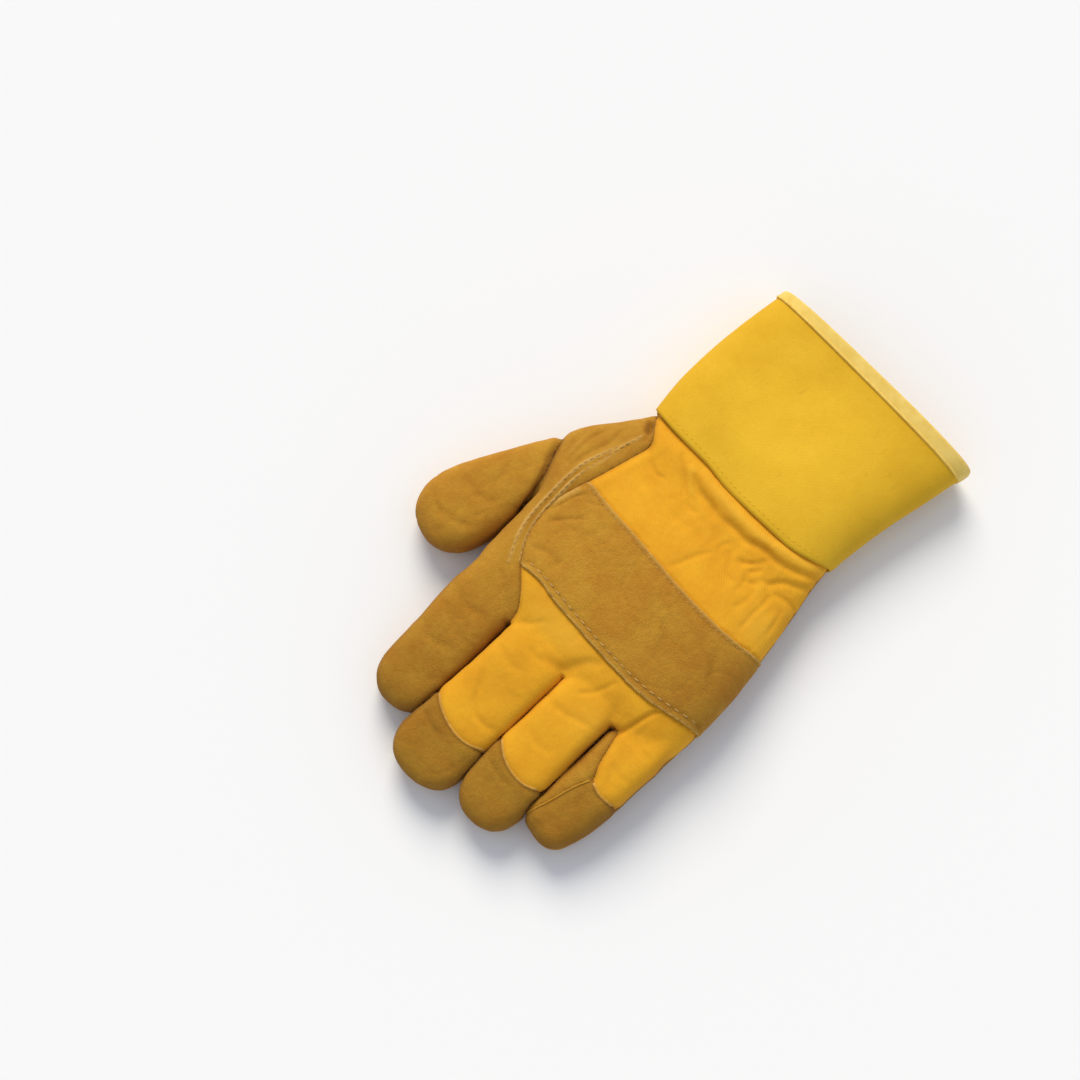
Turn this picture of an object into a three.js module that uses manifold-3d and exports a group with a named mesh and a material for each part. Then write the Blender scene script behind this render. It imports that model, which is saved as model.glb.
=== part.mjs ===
// A left-hand leather and canvas work glove with a flared safety cuff, lying on its palm.
// Millimetres. +Y runs from the fingertips to the cuff's opening, +X points to the little
// finger's side and +Z up from the surface that the glove lies on.
import * as THREE from "three";
import { mergeVertices } from "three/addons/utils/BufferGeometryUtils.js";
import Module from "manifold-3d";

const wasm = await Module();
wasm.setup();

// Driving dimensions
const GAP = 0.3; // clearance between two pieces that touch in the real glove
const WALL = 1.8; // leather or drill together with its lining
const OVERLAY = 1.3; // the strap and the patch, which are one layer sewn on top
const CUFF_START = 38.4; // where the cuff is sewn to the hand
const CUFF_END = 121;
const BINDING_WIDTH = 6;
const BINDING_THICKNESS = 1;
const STRAP = { fingerEdge: -57.5, wristEdge: -12.5 };
const WELT = { radius: 0.9, channel: 2.6, height: 1.7 };
const RUFFLES = 9; // puckers that the wrist elastic draws across the back

// How finely the solids are faceted
const BODY_SIDES = { upper: 36, lower: 12 };
const BODY_VOID_SIDES = { upper: 18, lower: 8 };
const CUFF_SIDES = { upper: 20, lower: 12 };
const FINGER_SIDES = { upper: 10, lower: 8 };
const FINGER_VOID_SIDES = { upper: 7, lower: 5 };
const TIP_STEPS = 4;

// How full each cross-section is: 1 is an ellipse, and smaller is squarer
const BODY_FULLNESS = 0.76;
const CUFF_FULLNESS = 0.64;
const FINGER_FULLNESS = 0.88;

// The hand from the cuff seam to the finger webs. top is the highest point of the section,
// waist the height of its widest point, and belly how deep it would sag if no floor
// flattened it. bow is how far the section leans towards the fingers at its top, as the wrist
// elastic pulls it, and ruffle is the height of the puckers that the elastic makes.
const HAND_SECTIONS = [
  { y: 38, left: -50.5, right: 54.6, top: 31.0, waist: 16, belly: -4, bow: 5.4, ruffle: 0.0 },
  { y: 34, left: -53.0, right: 54.8, top: 32.0, waist: 16, belly: -4, bow: 4.8, ruffle: 0.0 },
  { y: 30, left: -56.0, right: 55.2, top: 31.6, waist: 16, belly: -4, bow: 4.0, ruffle: 0.1 },
  { y: 26, left: -59.0, right: 55.5, top: 28.8, waist: 16, belly: -4, bow: 3.0, ruffle: 0.3 },
  { y: 20, left: -63.5, right: 56.4, top: 29.9, waist: 16, belly: -4, bow: 1.8, ruffle: 0.7 },
  { y: 14, left: -68.4, right: 57.6, top: 29.2, waist: 16, belly: -4, bow: 0.8, ruffle: 0.9 },
  { y: 7, left: -72.0, right: 58.9, top: 31.2, waist: 16, belly: -4, bow: 0.2, ruffle: 0.5 },
  { y: -2, left: -74.0, right: 60.2, top: 33.0, waist: 16, belly: -4, bow: 0, ruffle: 0 },
  { y: -12, left: -69.0, right: 62.0, top: 34.2, waist: 16, belly: -4, bow: 0, ruffle: 0 },
  { y: -24, left: -61.2, right: 64.0, top: 35.0, waist: 17, belly: -4, bow: 0, ruffle: 0 },
  { y: -38, left: -59.6, right: 66.4, top: 35.0, waist: 17, belly: -4, bow: 0, ruffle: 0 },
  { y: -52, left: -60.0, right: 67.4, top: 34.6, waist: 16, belly: -2, bow: 0, ruffle: 0 },
  { y: -62, left: -60.0, right: 67.4, top: 33.4, waist: 16, belly: 0.6, bow: 0, ruffle: 0 },
  { y: -70, left: -58.5, right: 66.0, top: 31.0, waist: 15, belly: 3.5, bow: 0, ruffle: 0 },
  { y: -76, left: -55.0, right: 62.6, top: 26.0, waist: 15, belly: 8, bow: 0, ruffle: 0 },
];

// The cuff, from its seam to its opening
const CUFF_SECTIONS = [
  { y: CUFF_START, left: -52.5, right: 55.8, top: 32.0, waist: 16, belly: -5, bow: 5.4 },
  { y: 58, left: -55.4, right: 57.4, top: 32.4, waist: 16, belly: -5, bow: 4.7 },
  { y: 80, left: -55.2, right: 60.4, top: 32.2, waist: 16, belly: -5, bow: 4.1 },
  { y: 101, left: -53.2, right: 64.6, top: 31.8, waist: 16, belly: -5, bow: 3.5 },
  { y: CUFF_END, left: -50.8, right: 66.6, top: 31.2, waist: 16, belly: -5, bow: 3.0 },
];

// Each finger from inside the palm to where its rounded tip starts, then the tip's length
const FINGERS = {
  index: {
    tip: 15.5,
    rows: [
      { x: -44.0, y: -50, half: 15.0, top: 28.0, waist: 16.0, belly: 3.0 },
      { x: -44.0, y: -64, half: 15.8, top: 29.4, waist: 16.0, belly: 3.0 },
      { x: -43.8, y: -78, half: 15.9, top: 29.6, waist: 16.0, belly: 3.0 },
      { x: -43.5, y: -94, half: 15.8, top: 27.8, waist: 15.0, belly: 3.4 },
      { x: -44.0, y: -110, half: 16.1, top: 25.0, waist: 12.5, belly: 1.0 },
      { x: -44.4, y: -124, half: 16.0, top: 22.5, waist: 10.5, belly: -1.2 },
    ],
  },
  middle: {
    tip: 16,
    rows: [
      { x: -9.7, y: -50, half: 16.8, top: 31.6, waist: 16.5, belly: 3.0 },
      { x: -9.6, y: -64, half: 16.8, top: 31.4, waist: 16.5, belly: 3.0 },
      { x: -9.5, y: -78, half: 16.8, top: 31.0, waist: 16.0, belly: 3.0 },
      { x: -9.5, y: -100, half: 16.8, top: 28.8, waist: 15.0, belly: 3.6 },
      { x: -10.2, y: -124, half: 17.3, top: 25.0, waist: 12.0, belly: 0.8 },
      { x: -11.3, y: -140, half: 18.0, top: 21.6, waist: 10.0, belly: -1.4 },
    ],
  },
  ring: {
    tip: 15.5,
    rows: [
      { x: 23.0, y: -50, half: 14.4, top: 31.0, waist: 16.5, belly: 3.0 },
      { x: 22.8, y: -64, half: 14.4, top: 30.8, waist: 16.5, belly: 3.0 },
      { x: 22.6, y: -79, half: 14.2, top: 30.2, waist: 16.0, belly: 3.0 },
      { x: 22.5, y: -100, half: 14.2, top: 28.0, waist: 15.0, belly: 3.6 },
      { x: 22.5, y: -120, half: 14.2, top: 24.6, waist: 12.0, belly: 0.8 },
      { x: 22.8, y: -134, half: 14.4, top: 21.6, waist: 10.0, belly: -1.2 },
    ],
  },
  little: {
    tip: 14,
    rows: [
      { x: 52.0, y: -50, half: 13.8, top: 26.5, waist: 15.5, belly: 2.5 },
      { x: 52.8, y: -64, half: 13.6, top: 27.4, waist: 15.5, belly: 2.5 },
      { x: 52.8, y: -80, half: 12.9, top: 27.6, waist: 15.0, belly: 2.5 },
      { x: 51.9, y: -95, half: 12.9, top: 26.0, waist: 14.0, belly: 3.0 },
      { x: 51.0, y: -110, half: 13.0, top: 23.8, waist: 12.0, belly: 0.9 },
      { x: 50.2, y: -121, half: 12.6, top: 21.6, waist: 10.5, belly: -1.0 },
    ],
  },
  thumb: {
    tip: 15.5,
    rows: [
      { x: -54.0, y: 17, half: 8.0, top: 22.0, waist: 14.0, belly: 7.0 },
      { x: -61.0, y: 4, half: 11.0, top: 24.5, waist: 14.0, belly: 5.0 },
      { x: -66.2, y: -8, half: 12.4, top: 26.2, waist: 14.0, belly: 3.2 },
      { x: -70.4, y: -17, half: 12.4, top: 27.0, waist: 14.0, belly: 2.0 },
      { x: -74.8, y: -27, half: 13.0, top: 27.0, waist: 13.5, belly: 1.0 },
      { x: -78.4, y: -38, half: 15.8, top: 26.4, waist: 13.0, belly: 0.0 },
      { x: -81.8, y: -49, half: 18.4, top: 25.4, waist: 12.0, belly: -1.0 },
      { x: -83.8, y: -58, half: 18.6, top: 24.4, waist: 11.5, belly: -1.2 },
    ],
  },
};

// The height of the side seam between the back and the palm, along the glove
const SIDE_SEAM = [
  { y: 60, z: 15 },
  { y: -55, z: 15 },
  { y: -85, z: 14 },
  { y: -115, z: 11.5 },
  { y: -140, z: 9 },
  { y: -170, z: 7.5 },
];

// Seam lines in plan, each as [x, y] points, from the wrist towards the fingertips
const BACK_SEAM = [
  [-43.6, 45], [-44.0, 28], [-47.3, 11], [-46.2, -6], [-50.3, -20], [-52.4, -30],
  [-50.0, -42], [-43.5, -53], [-38.0, -61], [-28.4, -71.5],
];
const INDEX_SLIT = [[-27, -78], [-27, -112], [-28.8, -130], [-31.6, -136], [-37, -143]];
const THUMB_SEAM = [[-86, 10], [-74, 2.5], [-66.5, -11], [-60.6, -25], [-60.8, -40], [-61.6, -95]];
const LITTLE_SIDE = [[40.6, -80], [43.2, -85], [47.4, -98], [47.4, -105.5]];
const LITTLE_TIP_SIDE = [[47.4, -105.5], [39.2, -138]];
const RING_SLIT_X = 7.75;
const LITTLE_SLIT_X = 37.5;
const WELT_LINE = [[-27, -61.2], [RING_SLIT_X, -61.8], [LITTLE_SLIT_X, -66.4]];
const MIDDLE_TIP_SEAM = [[-28.6, -127.4], [-10, -132], [RING_SLIT_X, -129.6]];
const RING_TIP_SEAM = [[RING_SLIT_X, -119.4], [22, -124.8], [LITTLE_SLIT_X, -123.8]];
const LITTLE_TIP_SEAM = [[47.4, -105.5], [57, -106], [80, -103.5]];
const BEYOND_TIPS = -175; // plan limits that lie outside the glove
const BEYOND_LEFT = -125;
const BEYOND_RIGHT = 90;

// The patch on the palm side of the cuff
const PATCH = { left: -38, right: 42, start: 39.2, shoulder: 62, end: 77, taper: 11 };

// Turns a closed three.js geometry into a manifold solid.
function solid(geometry) {
  const bare = geometry.index ? geometry.toNonIndexed() : geometry.clone();
  for (const name of Object.keys(bare.attributes)) {
    if (name !== "position") bare.deleteAttribute(name);
  }
  const merged = mergeVertices(bare, 1e-4);
  return new wasm.Manifold(
    new wasm.Mesh({
      numProp: 3,
      vertProperties: new Float32Array(merged.attributes.position.array),
      triVerts: new Uint32Array(merged.index.array),
    }),
  );
}

// Turns a manifold solid back into a three.js geometry with flat facets.
function geometryOf(body) {
  const mesh = body.getMesh();
  const geometry = new THREE.BufferGeometry();
  geometry.setAttribute("position", new THREE.BufferAttribute(mesh.vertProperties, 3));
  geometry.setIndex(new THREE.BufferAttribute(mesh.triVerts, 1));
  const faceted = geometry.toNonIndexed();
  faceted.computeVertexNormals();
  return faceted;
}

// The largest of a solid's separate bodies, without the slivers that a cut can leave.
const largest = (body) => body.decompose().sort((a, b) => b.volume() - a.volume())[0];

const union = (bodies) => bodies.reduce((sum, body) => sum.add(body));
const signedPower = (value, power) => Math.sign(value) * Math.abs(value) ** power;

// The angles of a section's corners, with their own number above and below the waist.
function cornerAngles({ upper, lower }) {
  const above = Array.from({ length: upper }, (_, i) => (Math.PI * i) / upper);
  const below = Array.from({ length: lower }, (_, i) => Math.PI + (Math.PI * i) / lower);
  return [...above, ...below];
}

// One closed cross-section, upright and square to heading, and leaning by its bow. inset
// moves it inwards, and nothing in it reaches below floor.
function ring(row, sides, fullness, inset, floor) {
  const across = new THREE.Vector3(-row.heading.y, row.heading.x, 0);
  return cornerAngles(sides).map((angle) => {
    const sine = Math.sin(angle);
    const reach = sine > 0 ? row.top - row.waist - inset : row.waist - row.belly - inset;
    const sideways = (row.half - inset) * signedPower(Math.cos(angle), fullness);
    const pucker = (row.ruffle ?? 0) * Math.cos(2 * RUFFLES * angle) * Math.max(sine, 0);
    const z = row.waist + reach * signedPower(sine, fullness) + pucker;
    const y = row.y - (row.bow ?? 0) * Math.max(sine, 0);
    return new THREE.Vector3(row.x, y, Math.max(z, floor)).addScaledVector(across, sideways);
  });
}

// Skins a closed body over a list of rings and closes both ends on a centre point.
function loft(rings) {
  const sides = rings[0].length;
  const centre = (points) =>
    points.reduce((sum, p) => sum.add(p), new THREE.Vector3()).divideScalar(points.length);
  const points = [...rings.flat(), centre(rings[0]), centre(rings.at(-1))];
  const start = points.length - 2;
  const end = points.length - 1;
  const index = [];
  for (let i = 0; i < sides; i += 1) {
    const next = (i + 1) % sides;
    for (let r = 0; r < rings.length - 1; r += 1) {
      const [a, b] = [r * sides + i, r * sides + next];
      index.push(a, b, b + sides, a, b + sides, a + sides);
    }
    const last = (rings.length - 1) * sides;
    index.push(start, next, i, end, last + i, last + next);
  }
  const geometry = new THREE.BufferGeometry().setFromPoints(points);
  geometry.setIndex(index);
  return solid(geometry);
}

// The hand's or the cuff's rows: they run straight towards the fingertips.
const TO_FINGERTIPS = new THREE.Vector2(0, -1);
const straightRow = (row) => ({
  ...row,
  x: (row.left + row.right) / 2,
  half: (row.right - row.left) / 2,
  heading: TO_FINGERTIPS,
});

// A finger's rows with the heading of its centre line, and the rows of its rounded tip.
function fingerRows({ rows, tip }, inset) {
  const headed = rows.map((row, i) => {
    const before = rows[Math.max(i - 1, 0)];
    const after = rows[Math.min(i + 1, rows.length - 1)];
    return { ...row, heading: new THREE.Vector2(after.x - before.x, after.y - before.y).normalize() };
  });
  const last = headed.at(-1);
  const rounded = Array.from({ length: TIP_STEPS }, (_, i) => {
    const turn = (Math.PI / 2) * ((i + 1) / (TIP_STEPS + 0.25));
    const shrink = Math.cos(turn) ** 0.85;
    const forward = (tip - inset) * Math.sin(turn);
    return {
      ...last,
      x: last.x + last.heading.x * forward,
      y: last.y + last.heading.y * forward,
      half: inset + (last.half - inset) * shrink,
      top: last.waist + inset + (last.top - last.waist - inset) * shrink,
      belly: last.waist - inset + (last.belly - last.waist + inset) * shrink,
    };
  });
  return [...headed, ...rounded];
}

const finger = (name, sides, inset, floor) =>
  loft(fingerRows(FINGERS[name], inset).map((row) => ring(row, sides, FINGER_FULLNESS, inset, floor)));

// The hand with its web end closed; a void also runs out through the wrist.
function hand(sides, inset, floor, wristRun = 0) {
  const rows = HAND_SECTIONS.map(straightRow);
  const first = { ...rows[0], y: rows[0].y + wristRun };
  const last = { ...rows.at(-1), y: rows.at(-1).y + inset };
  const run = [first, ...rows.slice(wristRun ? 0 : 1, -1), last];
  return loft(run.map((row) => ring(row, sides, BODY_FULLNESS, inset, floor)));
}

// The cuff between two stations, as a closed body.
function cuffBody(inset, floor, from = CUFF_START, to = CUFF_END) {
  const rows = CUFF_SECTIONS.map(straightRow);
  const at = (y) => {
    const i = Math.max(0, Math.min(rows.length - 2, rows.findIndex((row) => row.y >= y) - 1));
    const share = (y - rows[i].y) / (rows[i + 1].y - rows[i].y);
    const mix = (key) => THREE.MathUtils.lerp(rows[i][key], rows[i + 1][key], share);
    const keys = ["x", "half", "top", "waist", "belly", "bow"];
    return { y, heading: TO_FINGERTIPS, ...Object.fromEntries(keys.map((key) => [key, mix(key)])) };
  };
  const clampAt = (y) => ({ ...at(Math.max(CUFF_START, Math.min(CUFF_END, y))), y });
  const between = rows.filter((row) => row.y > from + 1 && row.y < to - 1);
  const run = [clampAt(to), ...between.reverse(), clampAt(from)];
  return loft(run.map((row) => ring(row, CUFF_SIDES, CUFF_FULLNESS, inset, floor)));
}

// Moves each corner of an anticlockwise outline outwards, square to both its edges.
function grown(outline, margin) {
  return outline.map((point, i) => {
    const [before, after] = [outline.at(i - 1), outline[(i + 1) % outline.length]];
    const outward = ([ax, ay], [bx, by]) => new THREE.Vector2(by - ay, ax - bx).normalize();
    const first = outward(before, point);
    const second = outward(point, after);
    const corner = first.clone().add(second).divideScalar(1 + first.dot(second));
    return [point[0] + corner.x * margin, point[1] + corner.y * margin];
  });
}

// An upright prism over a plan outline.
function prism(outline, margin = 0, low = -10, high = 60) {
  const anticlockwise = THREE.ShapeUtils.area(outline.map(([x, y]) => new THREE.Vector2(x, y))) > 0;
  const ordered = anticlockwise ? outline : [...outline].reverse();
  const shape = new THREE.Shape(grown(ordered, margin).map(([x, y]) => new THREE.Vector2(x, y)));
  const geometry = new THREE.ExtrudeGeometry(shape, { depth: high - low, bevelEnabled: false });
  return solid(geometry.translate(0, 0, low));
}

// Everything above the side seam, or with a negative lift a little more.
function aboveSideSeam(lift = 0) {
  const seam = SIDE_SEAM.map(({ y, z }) => new THREE.Vector2(y, z + lift));
  const ceiling = [new THREE.Vector2(SIDE_SEAM.at(-1).y, 60), new THREE.Vector2(SIDE_SEAM[0].y, 60)];
  const shape = new THREE.Shape([...seam, ...ceiling]);
  const geometry = new THREE.ExtrudeGeometry(shape, {
    depth: BEYOND_RIGHT - BEYOND_LEFT,
    bevelEnabled: false,
  });
  // The drawn shape lies in Y and Z and is extruded along X.
  const turn = new THREE.Matrix4().makeBasis(
    new THREE.Vector3(0, 1, 0), new THREE.Vector3(0, 0, 1), new THREE.Vector3(1, 0, 0),
  );
  return solid(geometry.applyMatrix4(turn).translate(BEYOND_LEFT, 0, 0));
}

// Plan outlines of the regions that the pieces are cut to
const REGIONS = {
  thumb: [...THUMB_SEAM, [BEYOND_LEFT, -95], [BEYOND_LEFT, 10]],
  back: [
    ...BACK_SEAM, ...INDEX_SLIT, [-37, BEYOND_TIPS], [LITTLE_SLIT_X, BEYOND_TIPS],
    [LITTLE_SLIT_X, -82], ...LITTLE_SIDE, ...LITTLE_TIP_SIDE.slice(1), [39.2, BEYOND_TIPS],
    [BEYOND_RIGHT, BEYOND_TIPS], [BEYOND_RIGHT, 45],
  ],
  middle_tip: [
    ...MIDDLE_TIP_SEAM, [RING_SLIT_X, BEYOND_TIPS], [-37, BEYOND_TIPS],
    ...INDEX_SLIT.filter(([, y]) => y < -128).reverse(),
  ],
  ring_tip: [...RING_TIP_SEAM, [LITTLE_SLIT_X, BEYOND_TIPS], [RING_SLIT_X, BEYOND_TIPS]],
  little_tip: [...LITTLE_TIP_SEAM, [80, BEYOND_TIPS], [39.2, BEYOND_TIPS], [39.2, -138]],
  middle_front: [...WELT_LINE.slice(0, 2), [RING_SLIT_X, BEYOND_TIPS], [-37, BEYOND_TIPS],
    ...[...INDEX_SLIT].reverse()],
  ring_front: [...WELT_LINE.slice(1), [LITTLE_SLIT_X, BEYOND_TIPS], [RING_SLIT_X, BEYOND_TIPS]],
  welt: [...WELT_LINE, ...WELT_LINE.map(([x, y]) => [x, y + WELT.channel]).reverse()],
  strap: [
    ...BACK_SEAM.filter(([, y]) => y < STRAP.wristEdge && y > STRAP.fingerEdge),
    [-40.4, STRAP.fingerEdge], [BEYOND_RIGHT, STRAP.fingerEdge], [BEYOND_RIGHT, STRAP.wristEdge],
    [-47.9, STRAP.wristEdge],
  ],
};

// The whole glove's skin, then the pieces that it is sewn from
const NAMES = Object.keys(FINGERS);
const skin = union([
  hand(BODY_SIDES, 0, 0),
  ...NAMES.map((name) => finger(name, FINGER_SIDES, 0, 0)),
]);
const hollow = union([
  hand(BODY_VOID_SIDES, WALL, WALL, 2),
  ...NAMES.map((name) => finger(name, FINGER_VOID_SIDES, WALL, WALL)),
]);
const wall = skin.subtract(hollow);
const thumb = wall.intersect(prism(REGIONS.thumb));
const rest = wall.subtract(prism(REGIONS.thumb, GAP));
const upper = rest.intersect(aboveSideSeam());
const lower = rest.subtract(aboveSideSeam(-GAP));
const TIPS = ["middle_tip", "ring_tip", "little_tip"];
const FRONTS = ["middle_front", "ring_front"];
const tips = TIPS.map((name) => upper.intersect(prism(REGIONS[name], -GAP / 2)));
const fronts = FRONTS.map((name) => lower.intersect(prism(REGIONS[name], -GAP / 2)));
const aroundTips = union(TIPS.map((name) => prism(REGIONS[name], GAP / 2)));
const aroundFronts = union(FRONTS.map((name) => prism(REGIONS[name], GAP / 2)));
const back = upper.intersect(prism(REGIONS.back)).subtract(aroundTips);
const sewnToPalm = union([
  prism(REGIONS.back, GAP).add(aroundTips).intersect(aboveSideSeam(-GAP)),
  aroundFronts.add(prism(REGIONS.welt)).subtract(aboveSideSeam()),
]);
const palm = rest.subtract(sewnToPalm);

// The strap over the knuckles lies on the back and follows its curve
const strap = hand(BODY_SIDES, -GAP - OVERLAY, 0)
  .subtract(hand(BODY_SIDES, -GAP, 0))
  .subtract(union(NAMES.map((name) => finger(name, FINGER_SIDES, -GAP, 0))))
  .intersect(prism(REGIONS.strap, -GAP))
  .intersect(aboveSideSeam(GAP));

// The cuff stands on the patch, so its underside is that much higher than the palm's
const CUFF_FLOOR = OVERLAY + GAP;
const cuff = cuffBody(0, CUFF_FLOOR)
  .subtract(cuffBody(WALL, CUFF_FLOOR + WALL, CUFF_START - 2, CUFF_END + 2));
const bindingEnd = CUFF_END + GAP + BINDING_THICKNESS;
const bindingStart = CUFF_END - BINDING_WIDTH;
// The rim's wall, thicker by margin on both sides, between two stations
const rim = (margin, from, to) =>
  cuffBody(-margin, CUFF_FLOOR - margin, from, to)
    .subtract(cuffBody(WALL + margin, CUFF_FLOOR + WALL + margin, from - 2, to + 2));
const binding = rim(GAP + BINDING_THICKNESS, bindingStart, bindingEnd)
  .subtract(rim(GAP, bindingStart - 1, CUFF_END + GAP));

function patch() {
  const { left, right, start, shoulder, end, taper } = PATCH;
  const shape = new THREE.Shape();
  shape.moveTo(left, start);
  shape.lineTo(right, start);
  shape.lineTo(right - 2, shoulder);
  shape.quadraticCurveTo(right - taper, end, (left + right) / 2 + taper, end);
  shape.lineTo((left + right) / 2 - taper, end);
  shape.quadraticCurveTo(left + taper, end, left + 2, shoulder);
  shape.closePath();
  const extrusion = { depth: OVERLAY, bevelEnabled: false, curveSegments: 8 };
  return solid(new THREE.ExtrudeGeometry(shape, extrusion));
}

// The piping at the roots of the two middle fingers, in the channel left between the leathers
function welt() {
  const halfChannel = WELT.channel / 2;
  const points = WELT_LINE.map(([x, y]) => new THREE.Vector3(x, y + halfChannel, WELT.height));
  points[0].x += 1.2;
  points.at(-1).x -= 1.2;
  const section = new THREE.Shape().absarc(0, 0, WELT.radius, 0, 2 * Math.PI);
  const path = new THREE.CatmullRomCurve3(points, false, "catmullrom", 0.2);
  return solid(new THREE.ExtrudeGeometry(section, { steps: 14, extrudePath: path, curveSegments: 4 }));
}

// Colours and finishes
const finish = (color, roughness) => new THREE.MeshStandardMaterial({ color, roughness, metalness: 0 });
const LEATHER = finish(0xb5832b, 0.9);
const DRILL = finish(0xf0ae2a, 0.85);
const CUFF_CLOTH = finish(0xe2b52f, 0.75);
const BINDING_TAPE = finish(0xe9bb45, 0.8);
const PIPING = finish(0xe0b277, 0.8);

const PIECES = [
  { name: "palm", body: palm, material: LEATHER },
  { name: "thumb", body: thumb, material: LEATHER },
  ...FRONTS.map((name, i) => ({ name, body: fronts[i], material: LEATHER })),
  { name: "back", body: back, material: DRILL },
  ...TIPS.map((name, i) => ({ name, body: tips[i], material: LEATHER })),
  { name: "knuckle_strap", body: strap, material: LEATHER },
  { name: "cuff", body: cuff, material: CUFF_CLOTH },
  { name: "cuff_binding", body: binding, material: BINDING_TAPE },
  { name: "pulse_patch", body: patch(), material: LEATHER },
  { name: "finger_welt", body: welt(), material: PIPING },
];

const glove = new THREE.Group();
for (const { name, body, material } of PIECES) {
  const mesh = new THREE.Mesh(geometryOf(largest(body)), material);
  mesh.name = name;
  glove.add(mesh);
}

// The origin is under the middle of the glove, on the surface that it lies on
const extent = new THREE.Box3().setFromObject(glove);
const middle = extent.getCenter(new THREE.Vector3());
glove.position.set(-middle.x, -middle.y, 0);

export default glove;
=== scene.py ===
"""A left-hand leather and canvas work glove, lying on its palm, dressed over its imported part."""

import math

import bmesh
import bpy
import numpy as np
from mathutils import Matrix, Vector, noise
from mathutils.bvhtree import BVHTree
from mathutils.kdtree import KDTree


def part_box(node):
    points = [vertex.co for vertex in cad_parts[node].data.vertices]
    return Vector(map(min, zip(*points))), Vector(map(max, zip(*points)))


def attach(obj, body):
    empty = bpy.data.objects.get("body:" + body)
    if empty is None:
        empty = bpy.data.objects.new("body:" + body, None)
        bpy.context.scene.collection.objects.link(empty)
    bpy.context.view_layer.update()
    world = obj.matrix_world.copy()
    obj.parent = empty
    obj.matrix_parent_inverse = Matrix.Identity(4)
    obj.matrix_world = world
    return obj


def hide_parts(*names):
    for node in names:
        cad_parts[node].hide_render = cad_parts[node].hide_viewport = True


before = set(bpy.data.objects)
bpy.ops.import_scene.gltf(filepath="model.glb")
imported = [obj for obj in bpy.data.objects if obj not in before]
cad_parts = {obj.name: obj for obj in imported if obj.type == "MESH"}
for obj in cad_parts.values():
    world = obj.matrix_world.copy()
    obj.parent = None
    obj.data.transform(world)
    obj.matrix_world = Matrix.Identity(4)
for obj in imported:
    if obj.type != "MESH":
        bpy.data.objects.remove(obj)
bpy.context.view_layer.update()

# The glove's plan is drawn in millimetres: +Y runs to the cuff's opening, +X to the little
# finger's side and +Z up from the floor. The patch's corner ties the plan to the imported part.
MM = 0.001
PATCH = {"left": -38.0, "right": 42.0, "start": 39.2, "shoulder": 62.0, "end": 77.0}
patch_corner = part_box("pulse_patch")[0]
PLAN_TO_FRAME = Matrix.Translation(
    (patch_corner.x - PATCH["left"] * MM, patch_corner.y - PATCH["start"] * MM, 0)
) @ Matrix.Scale(MM, 4)

# Thicknesses and fineness
GRAIN = 1.0  # the size of the mesh's faces
WALL = 1.6
OVERLAY = 1.2
CUFF_WALL = 1.7
CUFF_START = 38.4
CUFF_END = 121.0
SLIT_ROOM = 0.7  # how much slimmer the fingers are while they are joined to the hand
FLOOR_ROUNDING = 1.2
WRIST_LAP = 7.5  # how far the hand's skin reaches into the cuff
CUFF_FLOOR = 1.8  # how far the cuff's underside is off the floor
HEM_BOW = 5.4  # how far the cuff's seam leans to the fingers on top

# How finely the cross-sections are drawn: their distance, the rounding of their table's corners
# and how many sides they have
SECTION_STEP = 2.0
HAND_ROUNDING = 2.4
HAND_SIDES = 120
FINGER_ROUNDING = 4.0
FINGER_SIDES = 64
CUFF_STEP = 1.5
CUFF_ROUNDING = 8.0
CUFF_SIDES = 240

# How often the whole skin is smoothed, and the roots of the fingers and the thumb
SMOOTHINGS = 5
ROOT_SMOOTHINGS = 14

# Cross-sections of the hand. top is its highest point, waist the height where it is widest,
# belly how deep it would sag with no floor, and bow how far its top leans to the fingers.
HAND_COLUMNS = ("y", "left", "right", "top", "waist", "belly", "bow")
HAND = (
    (54, -49.0, 53.2, 28.6, 15, -2, 5.4),
    (46, -49.4, 53.8, 29.0, 15, -3, 5.4),
    (38, -50.5, 55.0, 30.2, 16, -4, 5.4),
    (34, -53.0, 55.5, 31.6, 16, -4, 4.8),
    (30, -56.0, 56.0, 31.0, 16, -4, 4.0),
    (26, -59.0, 56.6, 29.8, 16, -4, 3.0),
    (20, -63.5, 57.7, 29.8, 16, -4, 1.8),
    (14, -68.4, 58.8, 30.0, 16, -4, 0.8),
    (7, -72.0, 60.2, 31.4, 16, -4, 0.2),
    (-2, -73.6, 61.6, 33.0, 16, -4, 0),
    (-12, -69.0, 62.8, 34.2, 16, -4, 0),
    (-24, -62.0, 64.2, 35.0, 17, -4, 0),
    (-38, -60.8, 65.8, 35.0, 17, -4, 0),
    (-52, -61.0, 66.4, 34.6, 16, -2, 0),
    (-62, -60.6, 66.5, 33.4, 16, 0.6, 0),
    (-70, -58.5, 65.8, 31.2, 15, 3.5, 0),
    (-77, -55.0, 62.4, 27.0, 15, 8, 0),
)

# The cuff's cross-sections, from its seam to its opening
CUFF = (
    (CUFF_START, -52.5, 55.7, 32.0, 16, -5, HEM_BOW),
    (58, -55.4, 56.8, 32.4, 16, -5, 4.7),
    (80, -55.2, 59.6, 32.2, 16, -5, 4.1),
    (101, -53.2, 64.0, 31.8, 16, -5, 3.5),
    (CUFF_END, -50.8, 67.6, 31.2, 16, -5, 0.6),
)

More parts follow.
